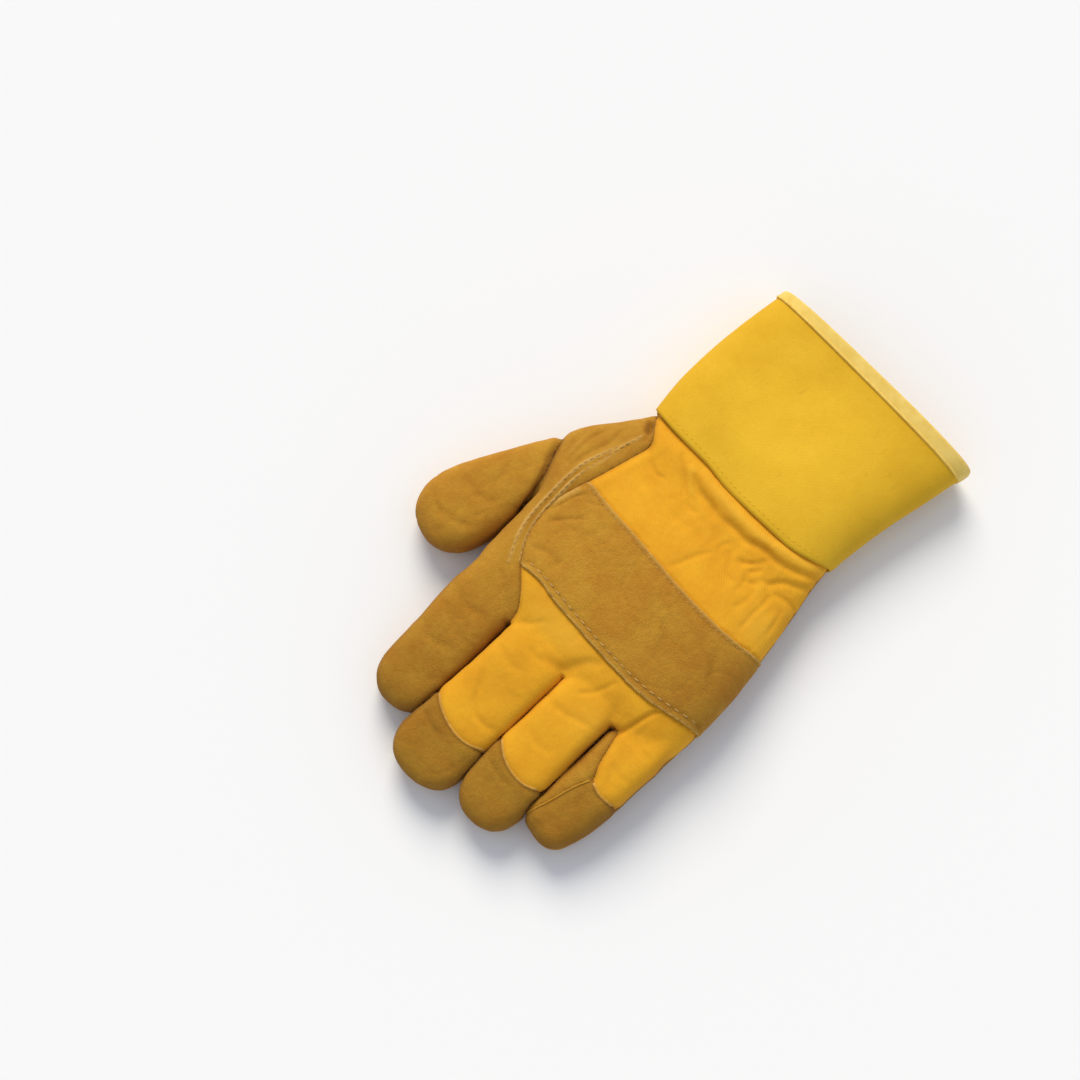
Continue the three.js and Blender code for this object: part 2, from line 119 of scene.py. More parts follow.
# Each finger's cross-sections from inside the hand to where its rounded tip starts
FINGER_COLUMNS = ("x", "y", "half", "top", "waist", "belly")
FINGERS = {
    "index": (
        (-44.0, -50, 15.0, 28.0, 16.0, 3.0),
        (-44.0, -64, 15.8, 29.4, 16.0, 3.0),
        (-43.8, -78, 15.9, 29.6, 16.0, 3.0),
        (-43.4, -94, 15.6, 27.8, 15.0, 3.4),
        (-43.0, -110, 15.2, 25.0, 12.5, 1.0),
        (-42.6, -123, 14.8, 22.5, 10.5, -1.2),
    ),
    "middle": (
        (-9.7, -50, 16.8, 31.6, 19.5, 3.0),
        (-9.6, -64, 16.8, 31.4, 19.5, 3.0),
        (-9.3, -78, 16.4, 31.0, 19.5, 3.0),
        (-9.7, -100, 16.5, 28.8, 18.5, 3.6),
        (-11.2, -122, 16.7, 25.2, 15.0, 0.8),
        (-11.7, -140, 17.8, 21.6, 11.5, -1.4),
    ),
    "ring": (
        (23.0, -50, 14.4, 31.0, 19.5, 3.0),
        (22.8, -64, 14.4, 30.8, 19.5, 3.0),
        (22.4, -79, 14.3, 30.2, 19.0, 3.0),
        (22.1, -100, 14.4, 28.0, 18.0, 3.6),
        (21.7, -120, 15.0, 24.6, 14.5, 0.8),
        (22.0, -134, 15.0, 21.6, 11.0, -1.2),
    ),
    "little": (
        (52.0, -50, 13.8, 26.5, 15.5, 2.5),
        (52.4, -64, 14.0, 27.4, 15.5, 2.5),
        (52.1, -80, 13.7, 27.6, 15.0, 2.5),
        (51.5, -95, 13.4, 26.0, 14.0, 3.0),
        (50.6, -109, 13.5, 23.8, 12.0, 0.9),
        (49.4, -118, 13.3, 21.8, 10.5, -0.8),
        (48.0, -126, 12.2, 20.4, 10.0, -1.0),
    ),
    "thumb": (
        (-54.0, 17, 8.0, 22.0, 14.0, 7.0),
        (-61.4, 4, 10.2, 24.5, 14.0, 5.0),
        (-66.6, -8, 10.8, 26.2, 14.0, 3.2),
        (-71.6, -18, 11.3, 27.0, 14.0, 2.0),
        (-75.2, -29, 13.6, 27.0, 13.5, 1.0),
        (-78.2, -40, 16.4, 26.6, 13.0, 0.0),
        (-80.8, -50, 18.4, 25.8, 12.5, -1.0),
        (-82.6, -56, 18.2, 25.2, 12.0, -1.2),
    ),
}
TIP_LENGTH = {"index": 15.5, "middle": 15.5, "ring": 15.5, "little": 8.7, "thumb": 18.4}
TIP_RINGS = 12

# How full the cross-sections are: 1 is an ellipse, and smaller is squarer
HAND_FULLNESS = 0.69
CUFF_FULLNESS = 0.64
FINGER_FULLNESS = {"index": 0.57, "middle": 0.54, "ring": 0.54, "little": 0.6, "thumb": 0.58}

# Seams in plan, each from the wrist to the fingertips or from left to right
BACK_SEAM = (
    (-52.4, 58), (-51.6, 42), (-49.2, 37.2), (-45.6, 32.3), (-42, 28), (-39.8, 23.6), (-42.2, 14.6),
    (-44.3, 4.5), (-46.4, -5), (-49.4, -15), (-51.8, -24),
    (-51.8, -34), (-50.3, -42), (-46.5, -50), (-41, -57), (-33.8, -64), (-28.4, -70.5), (-26.9, -74),
    (-26.9, -90),
)
THUMB_SEAM = (
    (-92, 15), (-79, 6), (-72.4, 0.1), (-68.4, -10), (-64.2, -19.8), (-62.3, -29), (-61.9, -38),
    (-62, -48), (-62, -95),
)
SLITS = {
    "index": ((-26.9, -78), (-27.1, -112), (-27.9, -124), (-29.8, -132), (-34, -140)),
    "ring": ((7.2, -78), (6.8, -104), (6.0, -115), (6.0, -124), (6.6, -140)),
    "little": ((37.6, -78), (37.4, -100), (36.9, -112), (36.8, -140)),
}
LITTLE_SIDE = (
    (39.5, -70), (41.5, -79), (43, -83), (46, -94.5), (49.6, -101), (46.1, -106.1), (43.7, -113.8),
    (41.6, -122.3), (37.2, -133), (36, -150),
)
TIP_SEAMS = {
    "middle": ((-34, -115), (-27.5, -120.5), (-22.5, -125), (-16, -127.9), (-8, -129.8),
               (-1.2, -129.4), (4.6, -126.8), (7.4, -123), (12, -115)),
    "ring": ((2, -110), (5.6, -114), (8.6, -117), (13.6, -121.4), (19.1, -123.6), (26.3, -124.6),
             (31.9, -123.8), (35.6, -120.6), (42, -114)),
    "little": ((40, -96), (49.6, -101), (53.7, -104.2), (59.7, -103.9), (64.5, -102), (75, -98)),
}
WELT_LINE = ((-34, -61.2), (-26.9, -61.2), (7.6, -61.8), (37.5, -66.4), (44, -67.4))
SIDE_SEAM_Y = (-170, -140, -115, -85, -55, 60)
SIDE_SEAM_Z = (7.5, 9, 11.5, 14, 15, 15)

# The strap over the knuckles: its edges, and how far inside them it is stitched
STRAP_WRIST_EDGE = (
    (-60, -7.3), (-45, -8.4), (-29.6, -10.6), (-17.3, -11.4), (-1.8, -12.9), (14.6, -14.4),
    (27.8, -15.0), (41.3, -14.9), (51.6, -13.6), (60.3, -11.2), (72, -7.6),
)
STRAP_FINGER_EDGE = (
    (-60, -57.6), (-40, -56.4), (-30.3, -56.0), (-17.4, -58.1), (-6.9, -58.9), (7, -60.2),
    (18.2, -60.6), (31.3, -61.0), (43.6, -60.0), (54.5, -57.2), (64.1, -54.2), (75, -51),
)


def column(columns, rows):
    """Turns a table's rows into one array for each named column."""
    named = {name: np.array(values, float) for name, values in zip(columns, zip(*rows))}
    if "left" in named:
        named["x"] = (named["left"] + named["right"]) / 2
        named["half"] = (named["right"] - named["left"]) / 2
    return named


def filled_in(rows, step, rounding):
    """Adds sections between a table's own, a step apart, with its corners rounded off."""
    steps = np.hypot(np.diff(rows["x"]), np.diff(rows["y"]))
    along = np.concatenate([[0], np.cumsum(steps)])
    places = np.linspace(0, along[-1], round(along[-1] / step) + 1)
    reach = int(2.5 * rounding / step)
    weights = np.exp(-0.5 * (np.arange(-reach, reach + 1) * step / rounding) ** 2)
    weights /= weights.sum()
    filled = {}
    for name, values in rows.items():
        line = np.interp(places, along, values)
        before = 2 * line[0] - line[reach:0:-1]
        after = 2 * line[-1] - line[-2 : -reach - 2 : -1]
        filled[name] = np.convolve(np.concatenate([before, line, after]), weights, "valid")
    upright = "left" in rows
    filled["heading_x"] = filled["x"] * 0 if upright else np.gradient(filled["x"])
    filled["heading_y"] = filled["x"] * 0 + 1 if upright else np.gradient(filled["y"])
    return [dict(zip(filled, values)) for values in zip(*filled.values())]


def powered(value, power):
    """A power that keeps the value's sign."""
    return math.copysign(abs(value) ** power, value)


def on_section(row, turn, fullness, grow=0.0, floor=0.0):
    """A point of an upright cross-section: a circle pressed to the row's width, height and bow."""
    cosine, sine = math.cos(turn), math.sin(turn)
    length = math.hypot(row["heading_x"], row["heading_y"])
    across = Vector((-row["heading_y"], row["heading_x"], 0)) / length
    reach = row["top"] - row["waist"] if sine > 0 else row["waist"] - row["belly"]
    height = row["waist"] + (reach + grow) * powered(sine, fullness) - floor
    lifted = floor + (height + math.hypot(height, FLOOR_ROUNDING)) / 2
    leaning = row["y"] - row.get("bow", 0) * max(sine, 0)
    sideways = across * (row["half"] + grow) * powered(cosine, fullness)
    return Vector((row["x"], leaning, lifted)) + sideways


def without_repeats(items):
    """The items in their own order, each only once, so that every run makes the same mesh."""
    return list(dict.fromkeys(items))


def lofted(bm, rows, sides, placed):
    """Draws a circle through the rows, putting each of its points where placed says, and returns
    the first and the last ring of edges."""
    turn = bm.verts.layers.float.get("turn") or bm.verts.layers.float.new("turn")
    ring = bmesh.ops.create_circle(bm, segments=sides, radius=1)["verts"]
    for vert in ring:
        vert[turn] = math.atan2(vert.co.y, vert.co.x)
    first = edges = without_repeats(edge for vert in ring for edge in vert.link_edges)
    for i, row in enumerate(rows):
        if i > 0:
            drawn = bmesh.ops.extrude_edge_only(bm, edges=edges)["geom"]
            ring = [item for item in drawn if isinstance(item, bmesh.types.BMVert)]
            made = set(ring)
            edges = [
                item for item in drawn
                if isinstance(item, bmesh.types.BMEdge) and made.issuperset(item.verts)
            ]
        for vert in ring:
            vert.co = placed(row, vert[turn])
    return first, edges


def closed_loft(bm, rows, sides, fullness, grow=0.0):
    """Skins the rows' cross-sections and closes both ends."""
    for end in lofted(bm, rows, sides, lambda row, turn: on_section(row, turn, fullness, grow)):
        bmesh.ops.edgeloop_fill(bm, edges=end)


def with_rounded_tip(rows, tip):
    """Adds the cross-sections of a finger's rounded tip."""
    last = rows[-1]
    length = math.hypot(last["heading_x"], last["heading_y"])
    ahead = (last["heading_x"] / length, last["heading_y"] / length)
    rounded = []
    for i in range(TIP_RINGS):
        turn = math.pi / 2 * (i + 1) / (TIP_RINGS + 0.3)
        shrink = math.cos(turn) ** 0.8
        row = dict(last)
        row["x"] += ahead[0] * tip * math.sin(turn)
        row["y"] += ahead[1] * tip * math.sin(turn)
        row["half"] *= shrink
        row["top"] = last["waist"] + (last["top"] - last["waist"]) * shrink
        row["belly"] = last["waist"] - (last["waist"] - last["belly"]) * shrink
        rounded.append(row)
    return rows + rounded


def object_from(bm, name):
    """Makes an object from a bmesh that is still in the plan's millimetres."""
    mesh = bpy.data.meshes.new(name)
    bm.to_mesh(mesh)
    bm.free()
    made = bpy.data.objects.new(name, mesh)
    bpy.context.collection.objects.link(made)
    return made


def baked(made):
    """Applies an object's modifiers to its mesh."""
    evaluated = made.evaluated_get(bpy.context.evaluated_depsgraph_get())
    mesh = bpy.data.meshes.new_from_object(evaluated)
    made.modifiers.clear()
    made.data = mesh
    return made


def joined_hand():
    """Joins the hand, the fingers and the thumb into one skin of even faces."""
    bm = bmesh.new()
    hand_rows = filled_in(column(HAND_COLUMNS, HAND), SECTION_STEP, HAND_ROUNDING)
    closed_loft(bm, hand_rows, HAND_SIDES, HAND_FULLNESS)
    for name, table in FINGERS.items():
        rows = filled_in(column(FINGER_COLUMNS, table), SECTION_STEP, FINGER_ROUNDING)
        rows = with_rounded_tip(rows, TIP_LENGTH[name])
        closed_loft(bm, rows, FINGER_SIDES, FINGER_FULLNESS[name], grow=-SLIT_ROOM)
    bmesh.ops.recalc_face_normals(bm, faces=bm.faces)
    made = object_from(bm, "joined_hand")
    remesh = made.modifiers.new("even faces", "REMESH")
    remesh.mode = "VOXEL"
    remesh.voxel_size = GRAIN
    baked(made)
    bm = bmesh.new()
    bm.from_mesh(made.data)
    bpy.data.objects.remove(made)
    geometry = bm.verts[:] + bm.edges[:] + bm.faces[:]
    wrist = Vector((0, CUFF_START + WRIST_LAP, 0))
    bmesh.ops.bisect_plane(bm, geom=geometry, plane_co=wrist, plane_no=(0, 1, 0), clear_outer=True)
    for _ in range(SMOOTHINGS):
        smoothed(bm, bm.verts)
    for step in range(ROOT_SMOOTHINGS):
        smoothed(bm, [vert for vert in bm.verts if is_root(vert.co, 0.9 * step)])
    return bm


def smoothed(bm, verts):
    """Draws each point half of the way to the middle of its neighbours."""
    bmesh.ops.smooth_vert(
        bm, verts=verts, factor=0.5, use_axis_x=True, use_axis_y=True, use_axis_z=True
    )


def is_root(co, inside):
    """Whether a point lies where a finger or the thumb grows out of the hand, on top or at the
    thumb's side. inside is how far from the ends of the thumb's root it has to be."""
    near_webs = -72 < co.y < -50 and co.z > 12
    near_thumb = co.x < -52 and inside - 30 < co.y < 22 - inside
    return near_webs or near_thumb


def densely(line, step=1.0):
    """A seam line with its corners rounded off and a point at each step."""
    points = np.array(line, float)
    along = np.concatenate([[0], np.cumsum(np.hypot(*np.diff(points, axis=0).T))])
    places = np.linspace(0, along[-1], int(along[-1] / step) + 2)
    dense = np.stack([np.interp(places, along, points[:, i]) for i in (0, 1)], 1)
    for _ in range(6):
        dense[1:-1] = (dense[:-2] + 2 * dense[1:-1] + dense[2:]) / 4
    return dense


def from_line(points, line):
    """How far points lie from a line in plan, positive on its right when its start is above,
    and how far along it they are, from 0 to 1."""
    starts, ends = line[:-1], line[1:]
    runs = ends - starts
    nearest = np.full(len(points), np.inf)
    side = np.ones(len(points))
    along = np.zeros(len(points))
    for i, (start, run) in enumerate(zip(starts, runs)):
        away = points - start
        share = np.clip(away @ run / (run @ run), 0, 1)
        gap = np.hypot(*(away - share[:, None] * run).T)
        closer = gap < nearest
        nearest[closer] = gap[closer]
        side[closer] = np.sign(run[0] * away[closer, 1] - run[1] * away[closer, 0])
        along[closer] = (i + share[closer]) / len(runs)
    return nearest * side, along


# The slits on each finger's thumb side and on its other side
FINGER_SLITS = {"middle": ("index", "ring"), "ring": ("ring", "little"), "little": ("little", None)}


def between_slits(x, y, left, right):
    """Whether points lie in the finger between two slits."""
    inside = past_slit(left, x, y) > 0
    return inside & (past_slit(right, x, y) < 0) if right else inside


def coordinates(bm):
    """The places of a bmesh's points, one row for each."""
    return np.array([vert.co for vert in bm.verts], float)


SNAP = 0.22  # the share of an edge within which a cut moves its end instead of splitting it


def cut_along(bm, level, wanted):
    """Splits the wanted faces where level, a number for each vertex, passes through zero."""
    bm.verts.ensure_lookup_table()
    bm.verts.index_update()
    level = level.copy()
    crossing = [e for e in bm.edges if wanted[e.verts[0].index] and wanted[e.verts[1].index]]
    on_line = []
    for edge in crossing:
        a, b = edge.verts
        first, second = level[a.index], level[b.index]
        if first * second >= 0:
            continue
        share = first / (first - second)
        if share < SNAP:
            a.co = a.co.lerp(b.co, share)
            level[a.index] = 0
            on_line.append(a)
        elif share > 1 - SNAP:
            b.co = b.co.lerp(a.co, 1 - share)
            level[b.index] = 0
            on_line.append(b)
    for edge in crossing:
        a, b = edge.verts
        first, second = level[a.index], level[b.index]
        if first * second < 0:
            _, made = bmesh.utils.edge_split(edge, a, first / (first - second))
            on_line.append(made)
    bmesh.ops.connect_verts(bm, verts=without_repeats(on_line))


def side_seam_height(y):
    """How high the seam between the back and the palm runs round the sides."""
    return np.interp(y, SIDE_SEAM_Y, SIDE_SEAM_Z)


def past_slit(name, x, y):
    """How far a point lies past the slit on a finger's thumb side."""
    places = SLITS[name][::-1]
    return x - np.interp(y, [place[1] for place in places], [place[0] for place in places])


LINES = {
    "back": densely(BACK_SEAM),
    "thumb": densely(THUMB_SEAM),
    "little_side": densely(LITTLE_SIDE),
    "welt": densely(WELT_LINE),
    "strap_wrist": densely(STRAP_WRIST_EDGE),
    "strap_finger": densely(STRAP_FINGER_EDGE),
    **{f"{name}_tip": densely(line) for name, line in TIP_SEAMS.items()},
}
STRAP_EDGES = ("strap_wrist", "strap_finger")


NEAR_SEAM = 4.0  # how far from a seam faces may be cut
WEBS = -74.0  # where the fingers part


def cut_seams(bm):
    """Cuts the skin along every seam, so that the pieces' edges follow the seams exactly."""
    def points():
        co = coordinates(bm)
        x, y, z = co.T
        return co[:, :2], x, y, z - side_seam_height(y)

    plan, x, y, above = points()
    back, _ = from_line(plan, LINES["back"])
    cut_along(bm, above, (back > -3) | (y < WEBS) & (x > -28))
    plan, _, y, above = points()
    back, _ = from_line(plan, LINES["back"])
    cut_along(bm, back, (above > -3) & (y > WEBS - 5) & (np.abs(back) < NEAR_SEAM))
    plan, _, y, _ = points()
    thumb, _ = from_line(plan, LINES["thumb"])
    cut_along(bm, thumb, (np.abs(thumb) < NEAR_SEAM) & (y > -56))
    for name, bounds in FINGER_SLITS.items():
        plan, x, y, above = points()
        tip, _ = from_line(plan, LINES[f"{name}_tip"])
        inside = between_slits(x, y, *bounds)
        if name == "little":
            inside &= from_line(plan, LINES["little_side"])[0] > -2
        cut_along(bm, tip, inside & (above > -1) & (np.abs(tip) < NEAR_SEAM))
    plan, x, y, above = points()
    side, _ = from_line(plan, LINES["little_side"])
    cut_along(bm, side, (np.abs(side) < 3) & (above > -1) & (past_slit("little", x, y) > -1))
    plan, x, _, above = points()
    welt, _ = from_line(plan, LINES["welt"])
    cut_along(bm, welt, (x > -29) & (x < 39.5) & (above < 1) & (np.abs(welt) < NEAR_SEAM))
    for name in SLITS:
        _, x, y, above = points()
        past = past_slit(name, x, y)
        near = (np.abs(past) < NEAR_SEAM) & (y > -80) & (y < -59)
        cut_along(bm, past, near & (above < 1))


def piece_of(centres):
    """Names the piece that each face belongs to, from the middle of the face."""
    x, y, z = centres.T
    plan = centres[:, :2]
    above = z > side_seam_height(y)
    right_of_back, _ = from_line(plan, LINES["back"])
    left_of_thumb = from_line(plan, LINES["thumb"])[0] < 0
    on_back = above & (right_of_back > 0) & (x > -56)
    on_back |= above & (y < WEBS) & (past_slit("index", x, y) > 0)
    beside_little = (from_line(plan, LINES["little_side"])[0] < 0) & (y < -78)
    beside_little &= past_slit("little", x, y) > 0
    names = np.full(len(centres), "palm", dtype=object)
    names[on_back & ~beside_little] = "back"
    for name, bounds in FINGER_SLITS.items():
        beyond = from_line(plan, LINES[f"{name}_tip"])[0] < 0
        in_finger = between_slits(x, y, *bounds) & above & (y < -95)
        if name == "little":
            in_finger &= from_line(plan, LINES["little_side"])[0] > 0
        names[beyond & in_finger] = f"{name}_tip"
    below_welt = from_line(plan, LINES["welt"])[0] < 0
    front = ~above & below_welt
    names[front & between_slits(x, y, "index", "ring")] = "middle_front"
    names[front & between_slits(x, y, "ring", "little")] = "ring_front"
    names[left_of_thumb & (y < 16) & (x < -55)] = "thumb"
    return names


FEWEST_FACES = 120  # a scrap of fewer faces than this isn't a piece of its own


def without_scraps(bm, names):
    """Gives each small scrap that is cut off from its piece to the piece around it."""
    seen = np.zeros(len(names), bool)
    for start in bm.faces:
        if seen[start.index]:
            continue
        seen[start.index] = True
        joined, around = [start], []
        for face in joined:
            for other in without_repeats(near for edge in face.edges for near in edge.link_faces):
                if names[other.index] != names[face.index]:
                    around.append(names[other.index])
                elif not seen[other.index]:
                    seen[other.index] = True
                    joined.append(other)
        if len(joined) < FEWEST_FACES and around:
            names[[face.index for face in joined]] = max(sorted(set(around)), key=around.count)


# How deep each seam draws the surface in
SEAM_DEPTH = {"thumb": 0.9, "welt": 1.2, "tip": 0.5, "other": 0.8}
SEAM_WIDTH = 1.6

# How far each slit's two fingers swell towards each other
SLITS_CLOSED = {"index": 0.22, "ring": 0.5, "little": 0.32}

# Folds in plan, each (width, depth, line): the ones with a negative depth stand up instead
BACK_FOLDS = (
    (2.2, 1.2, ((-17, 28.4), (-15.4, 27.1), (-10.6, 24.0), (-5.9, 23.5), (-0.3, 22.9), (2.3, 22),
                (3.6, 18.5))),
    (2.1, 1.35, ((4, 22), (5.7, 21.9), (9.9, 22.7), (15.5, 23.1), (21, 22.5), (25.6, 24.6),
                 (31.1, 25.8), (36.6, 25.6), (42.5, 27.3), (50.3, 31.2), (57, 36))),
    (3.2, -0.7, ((-16, 32), (-6, 29.4), (6, 28.2), (22, 28), (34, 30.6), (46, 34), (56, 40))),
    (1.4, 1.0, ((-28, 32), (-25.7, 28.7), (-18.6, 23), (-11.8, 17))),
    (2.4, -0.5, ((-21, 31), (-15.6, 25.6), (-10, 20))),
    (1.1, 0.8, ((-40, 27), (-38.8, 21.8), (-33.4, 17.6), (-28.5, 16.1), (-23.9, 17.6))),
    (1.8, 0.9, ((38, 15.4), (41.5, 15.4), (45.2, 21.3), (52.8, 25.9), (57.2, 31))),
    (1.5, 0.55, ((14.9, 9), (12.2, 5), (9.6, -0.8), (8.2, -6.1), (5.6, -11.9))),
    (1.4, 0.5, ((19.6, 14.6), (23, 10.2), (25.2, 5.4), (30, 4.6))),
    (1.3, 0.5, ((18, 8.6), (14.5, 10.3), (14.9, 14.2), (17, 17.6))),
    (1.2, 0.6, ((26.4, 13.6), (28.6, 15.6), (30.8, 18.2))),
    (1.2, 0.7, ((32, 13.6), (33.6, 16), (35.6, 19))),
    (1.3, 0.5, ((32.6, 8), (35.4, 10.4), (38.4, 12.6))),
    (1.4, 0.5, ((-12, 18), (-10.3, 15.9), (-6.4, 15.4), (-2, 16.6))),
    (1.4, 0.55, ((24, 13.4), (27.1, 15.2), (32.4, 19), (34, 23.7))),
    (1.3, 0.55, ((45.3, 13.6), (46.9, 8.9), (46.3, 0.4), (47.9, -9))),
    (1.4, 0.6, ((46, 14.6), (48.1, 15.5), (54.9, 17.8), (59.5, 16.1))),
    (1.3, 0.45, ((53.4, 13), (55.8, 6), (57.4, -1))),
    (1.3, 0.4, ((39.6, 9), (40.4, 3), (38.6, -3.6))),
    (1.3, 0.35, ((32, 12), (34.5, 7), (33.6, 1.4))),
    (2.4, 0.35, ((-18, 10), (-8, 7.4), (2, 9.6), (8, 8))),
    (2.6, 0.3, ((-36, 4), (-24, 2.4), (-12, -5))),
    (1.3, 1.25, ((49.6, -57), (47.7, -60.9), (45.8, -67.9), (44.1, -74.2), (41.5, -81.4))),
    (2.8, 0.85, ((-6, -78.6), (2.3, -78.1), (6.3, -76.1), (8.7, -70.6), (12.1, -66.1), (17.1, -63.1))),
    (1.4, 0.55, ((17, -79.6), (19, -77.8), (22.4, -74.3), (25.6, -67.6), (26.5, -63.6))),
    (1.5, 0.35, ((-24, -76), (-18, -71.6), (-15, -66))),
    (1.9, 0.65, ((-20, -101), (-16.1, -106.1), (-11.9, -114.1), (-6.9, -118.1), (0.2, -118.1),
                 (4.1, -115.1))),
    (1.6, 0.35, ((-11.7, -80), (-7.1, -81.5), (-1.7, -80.1))),
    (2.2, 0.35, ((-23, -88), (-14, -91.5), (-5, -90))),
    (2.0, 0.3, ((-12, -98), (-4, -101), (3, -99))),
    (1.8, 0.45, ((12, -90), (20, -89.8), (29.1, -86.8), (34.1, -85.9))),
    (2.0, 0.3, ((11, -104), (20, -107.6), (29, -106.4))),
    (1.8, 0.3, ((48, -74), (54, -78), (62, -77))),
    (1.8, 0.3, ((49.6, -90), (56, -92.4), (63, -90))),
    (1.6, 0.6, ((-26, -131), (-19.4, -134.4), (-12, -135))),
    (1.6, 0.5, ((12, -126.4), (18, -129), (27, -128.8))),
)

# The folds of the leather on the thumb's side, and the pale ridges along the back seam
LEATHER_FOLDS = (
    (1.8, 1.5, ((-73, 1), (-71.4, -3), (-68.4, -11), (-64.6, -19.8), (-62.8, -29), (-62.6, -40))),
    (1.5, 1.2, ((-51, 36), (-49.6, 34), (-46.8, 30.2), (-44.6, 26.4), (-43.4, 23))),
    (1.7, 2.6, ((-49.6, 34), (-48.2, 32), (-46.8, 29.6), (-45.6, 27))),
    (1.1, -1.0, ((-45.4, 26.6), (-48.6, 16.4), (-50.0, 4), (-53.0, -8), (-52.6, -20), (-52.6, -31),
                 (-51, -40), (-47.2, -49), (-42.4, -56.8))),
    (1.2, -0.8, ((-49.6, 14), (-52.4, 6), (-55.4, -5), (-55.8, -16), (-55.4, -29), (-54.6, -40),
                 (-50.6, -51.6), (-45.2, -60.4))),
    (1.1, 0.8, ((-47, 20), (-49.4, 10), (-51.6, -2), (-54.6, -13), (-54.2, -26), (-53.4, -37),
                (-49.4, -49.6))),
    (1.3, 0.8, ((-55, 22), (-54.6, 12), (-57.6, 2), (-59, -9))),
    (1.4, 0.7, ((-60, 17), (-62.6, 8), (-62, -1), (-60.4, -9))),
    (1.5, 0.6, ((-66, 12), (-66.6, 4), (-64.4, -6))),
    (1.4, 0.6, ((-53, -49), (-50.8, -56), (-46.6, -63), (-42, -68))),
    (2.2, 0.6, ((-98, -58), (-88, -64), (-76, -62), (-69, -57))),
    (2.4, 0.5, ((-90, -44), (-80, -47.6), (-69, -43))),
    (2.0, 0.4, ((-82, -22), (-78, -30), (-76.6, -40))),
    (2.4, 0.5, ((-57, -82), (-46, -86.6), (-33, -83.4))),
    (2.4, 0.5, ((-58, -104), (-47, -107.6), (-34, -104))),
    (2.0, 0.4, ((-44, -96), (-36, -98.6), (-30, -97))),
)

# The underside's folds where the hand closes, and across each finger: where they start, middle
# and end across the finger, and how far along it they are
JOINT_FOLDS = (
    ((-58, -44, -30), (-84, -106)),
    ((-25, -10, 6), (-88, -114)),
    ((9, 22, 36), (-86, -110)),
    ((40, 52, 65), (-82, -102)),
)
PALM_FOLDS = (
    (4.0, 1.0, ((-55, 22), (-40, 10), (-28, -8), (-30, -26), (-46, -40))),
    (4.0, 0.9, ((-44, -46), (-20, -36), (10, -38), (40, -48), (60, -52))),
    (3.5, 1.0, ((-50, 28), (-20, 30), (20, 29), (50, 28))),
    *(
        (3.0, 0.7, ((left, y), (middle, y - 2), (right, y)))
        for (left, middle, right), places in JOINT_FOLDS for y in places
    ),
)

# Folds of the strap itself, by the back seam
STRAP_FOLDS = (
    (1.4, 0.9, ((-49.6, -30), (-48.2, -24), (-46.2, -16.4), (-42.6, -12.4))),
    (1.6, -0.7, ((-50.6, -27), (-49.2, -20), (-46.6, -13.4))),
    (1.5, 0.6, ((-47.3, -35.3), (-42, -28.4), (-35, -21.4))),
    (2.0, 0.5, ((-44, -48), (-36, -44), (-28, -46))),
    (2.0, 0.4, ((20, -30), (28, -36), (30, -46))),
    (2.0, 0.4, ((46, -22), (52, -32), (58, -40))),
)


def fold_depths(plan, folds):
    """How far the folds move each point, below zero where they draw it in."""
    moved = np.zeros(len(plan))
    for width, depth, path in folds:
        line = densely(path)
        near = (np.abs(plan - (line.min(0) + line.max(0)) / 2) < np.ptp(line, axis=0) / 2 + 15).all(1)
        gap, along = from_line(plan[near], line)
        shape = gap / width
        ends = np.clip(np.minimum(along, 1 - along) / 0.2, 0, 1)
        profile = (1 - 0.4 * shape**2) * np.exp(-(shape**2))
        moved[near] -= depth * profile * np.sqrt(ends)
    return moved


def unevenness(co, size, seed):
    """Smooth noise, from -1 to 1, with lumps of about the given size in millimetres."""
    offset = Vector((seed * 17.3, seed * 5.1, seed * 9.7))
    return np.array([noise.noise(Vector(p) / size + offset) for p in co])


def creases(co, size, seed, width=0.09):
    """Thin wandering creases, from 0 between them to 1 in them."""
    return np.exp(-((unevenness(co, size, seed) / width) ** 2))


def gathers(co):
    """The wrinkles that the wrist's elastic draws into the drill."""
    x, y = co[:, 0], co[:, 1]
    towards_little = np.clip((x + 24) / 50, 0.12, 1)
    band = np.exp(-(((y - 12) / 9.5) ** 2)) * towards_little
    sway = unevenness(co, 13, 3) * 3
    pleats = 0.25 * np.sin((x + sway) * 2 * math.pi / 6.6) * (0.5 + unevenness(co, 9, 4))
    return band * (pleats + 0.45 * unevenness(co * (1, 0.5, 1), 5, 21))


def patch_of(plan, x, y, wide, long):
    """A soft-edged patch of the plan, from 0 outside to 1 in its middle."""
    return np.exp(-(((plan[:, 0] - x) / wide) ** 2) - ((plan[:, 1] - y) / long) ** 2)


def seams_of(bm, names):
    """The points on each kind of seam, where faces of two pieces meet."""
    seams = {kind: set() for kind in SEAM_DEPTH}
    for edge in bm.edges:
        faces = edge.link_faces
        if len(faces) < 2 or names[faces[0].index] == names[faces[1].index]:
            continue
        pair = names[faces[0].index] + " " + names[faces[1].index]
        kind = "thumb" if "thumb" in pair else "tip" if "tip" in pair else "other"
        if "front" in pair and "palm" in pair:
            kind = "welt"
        seams[kind].update(edge.verts)
    return seams


def drawn_in(seams, co):
    """How far the seams move each point, below zero where they draw it in, and how far away the
    nearest one is."""
    depth = np.zeros(len(co))
    nearest = np.full(len(co), np.inf)
    for kind, verts in seams.items():
        if not verts:
            continue
        tree = KDTree(len(verts))
        for i, vert in enumerate(verts):
            tree.insert(vert.co, i)
        tree.balance()
        gaps = np.array([tree.find(p)[2] for p in co])
        depth -= SEAM_DEPTH[kind] * np.exp(-((gaps / SEAM_WIDTH) ** 2))
        depth += 0.3 * SEAM_DEPTH[kind] * np.exp(-(((gaps - 4.2) / 2.0) ** 2))
        nearest = np.minimum(nearest, gaps)
    return depth, nearest


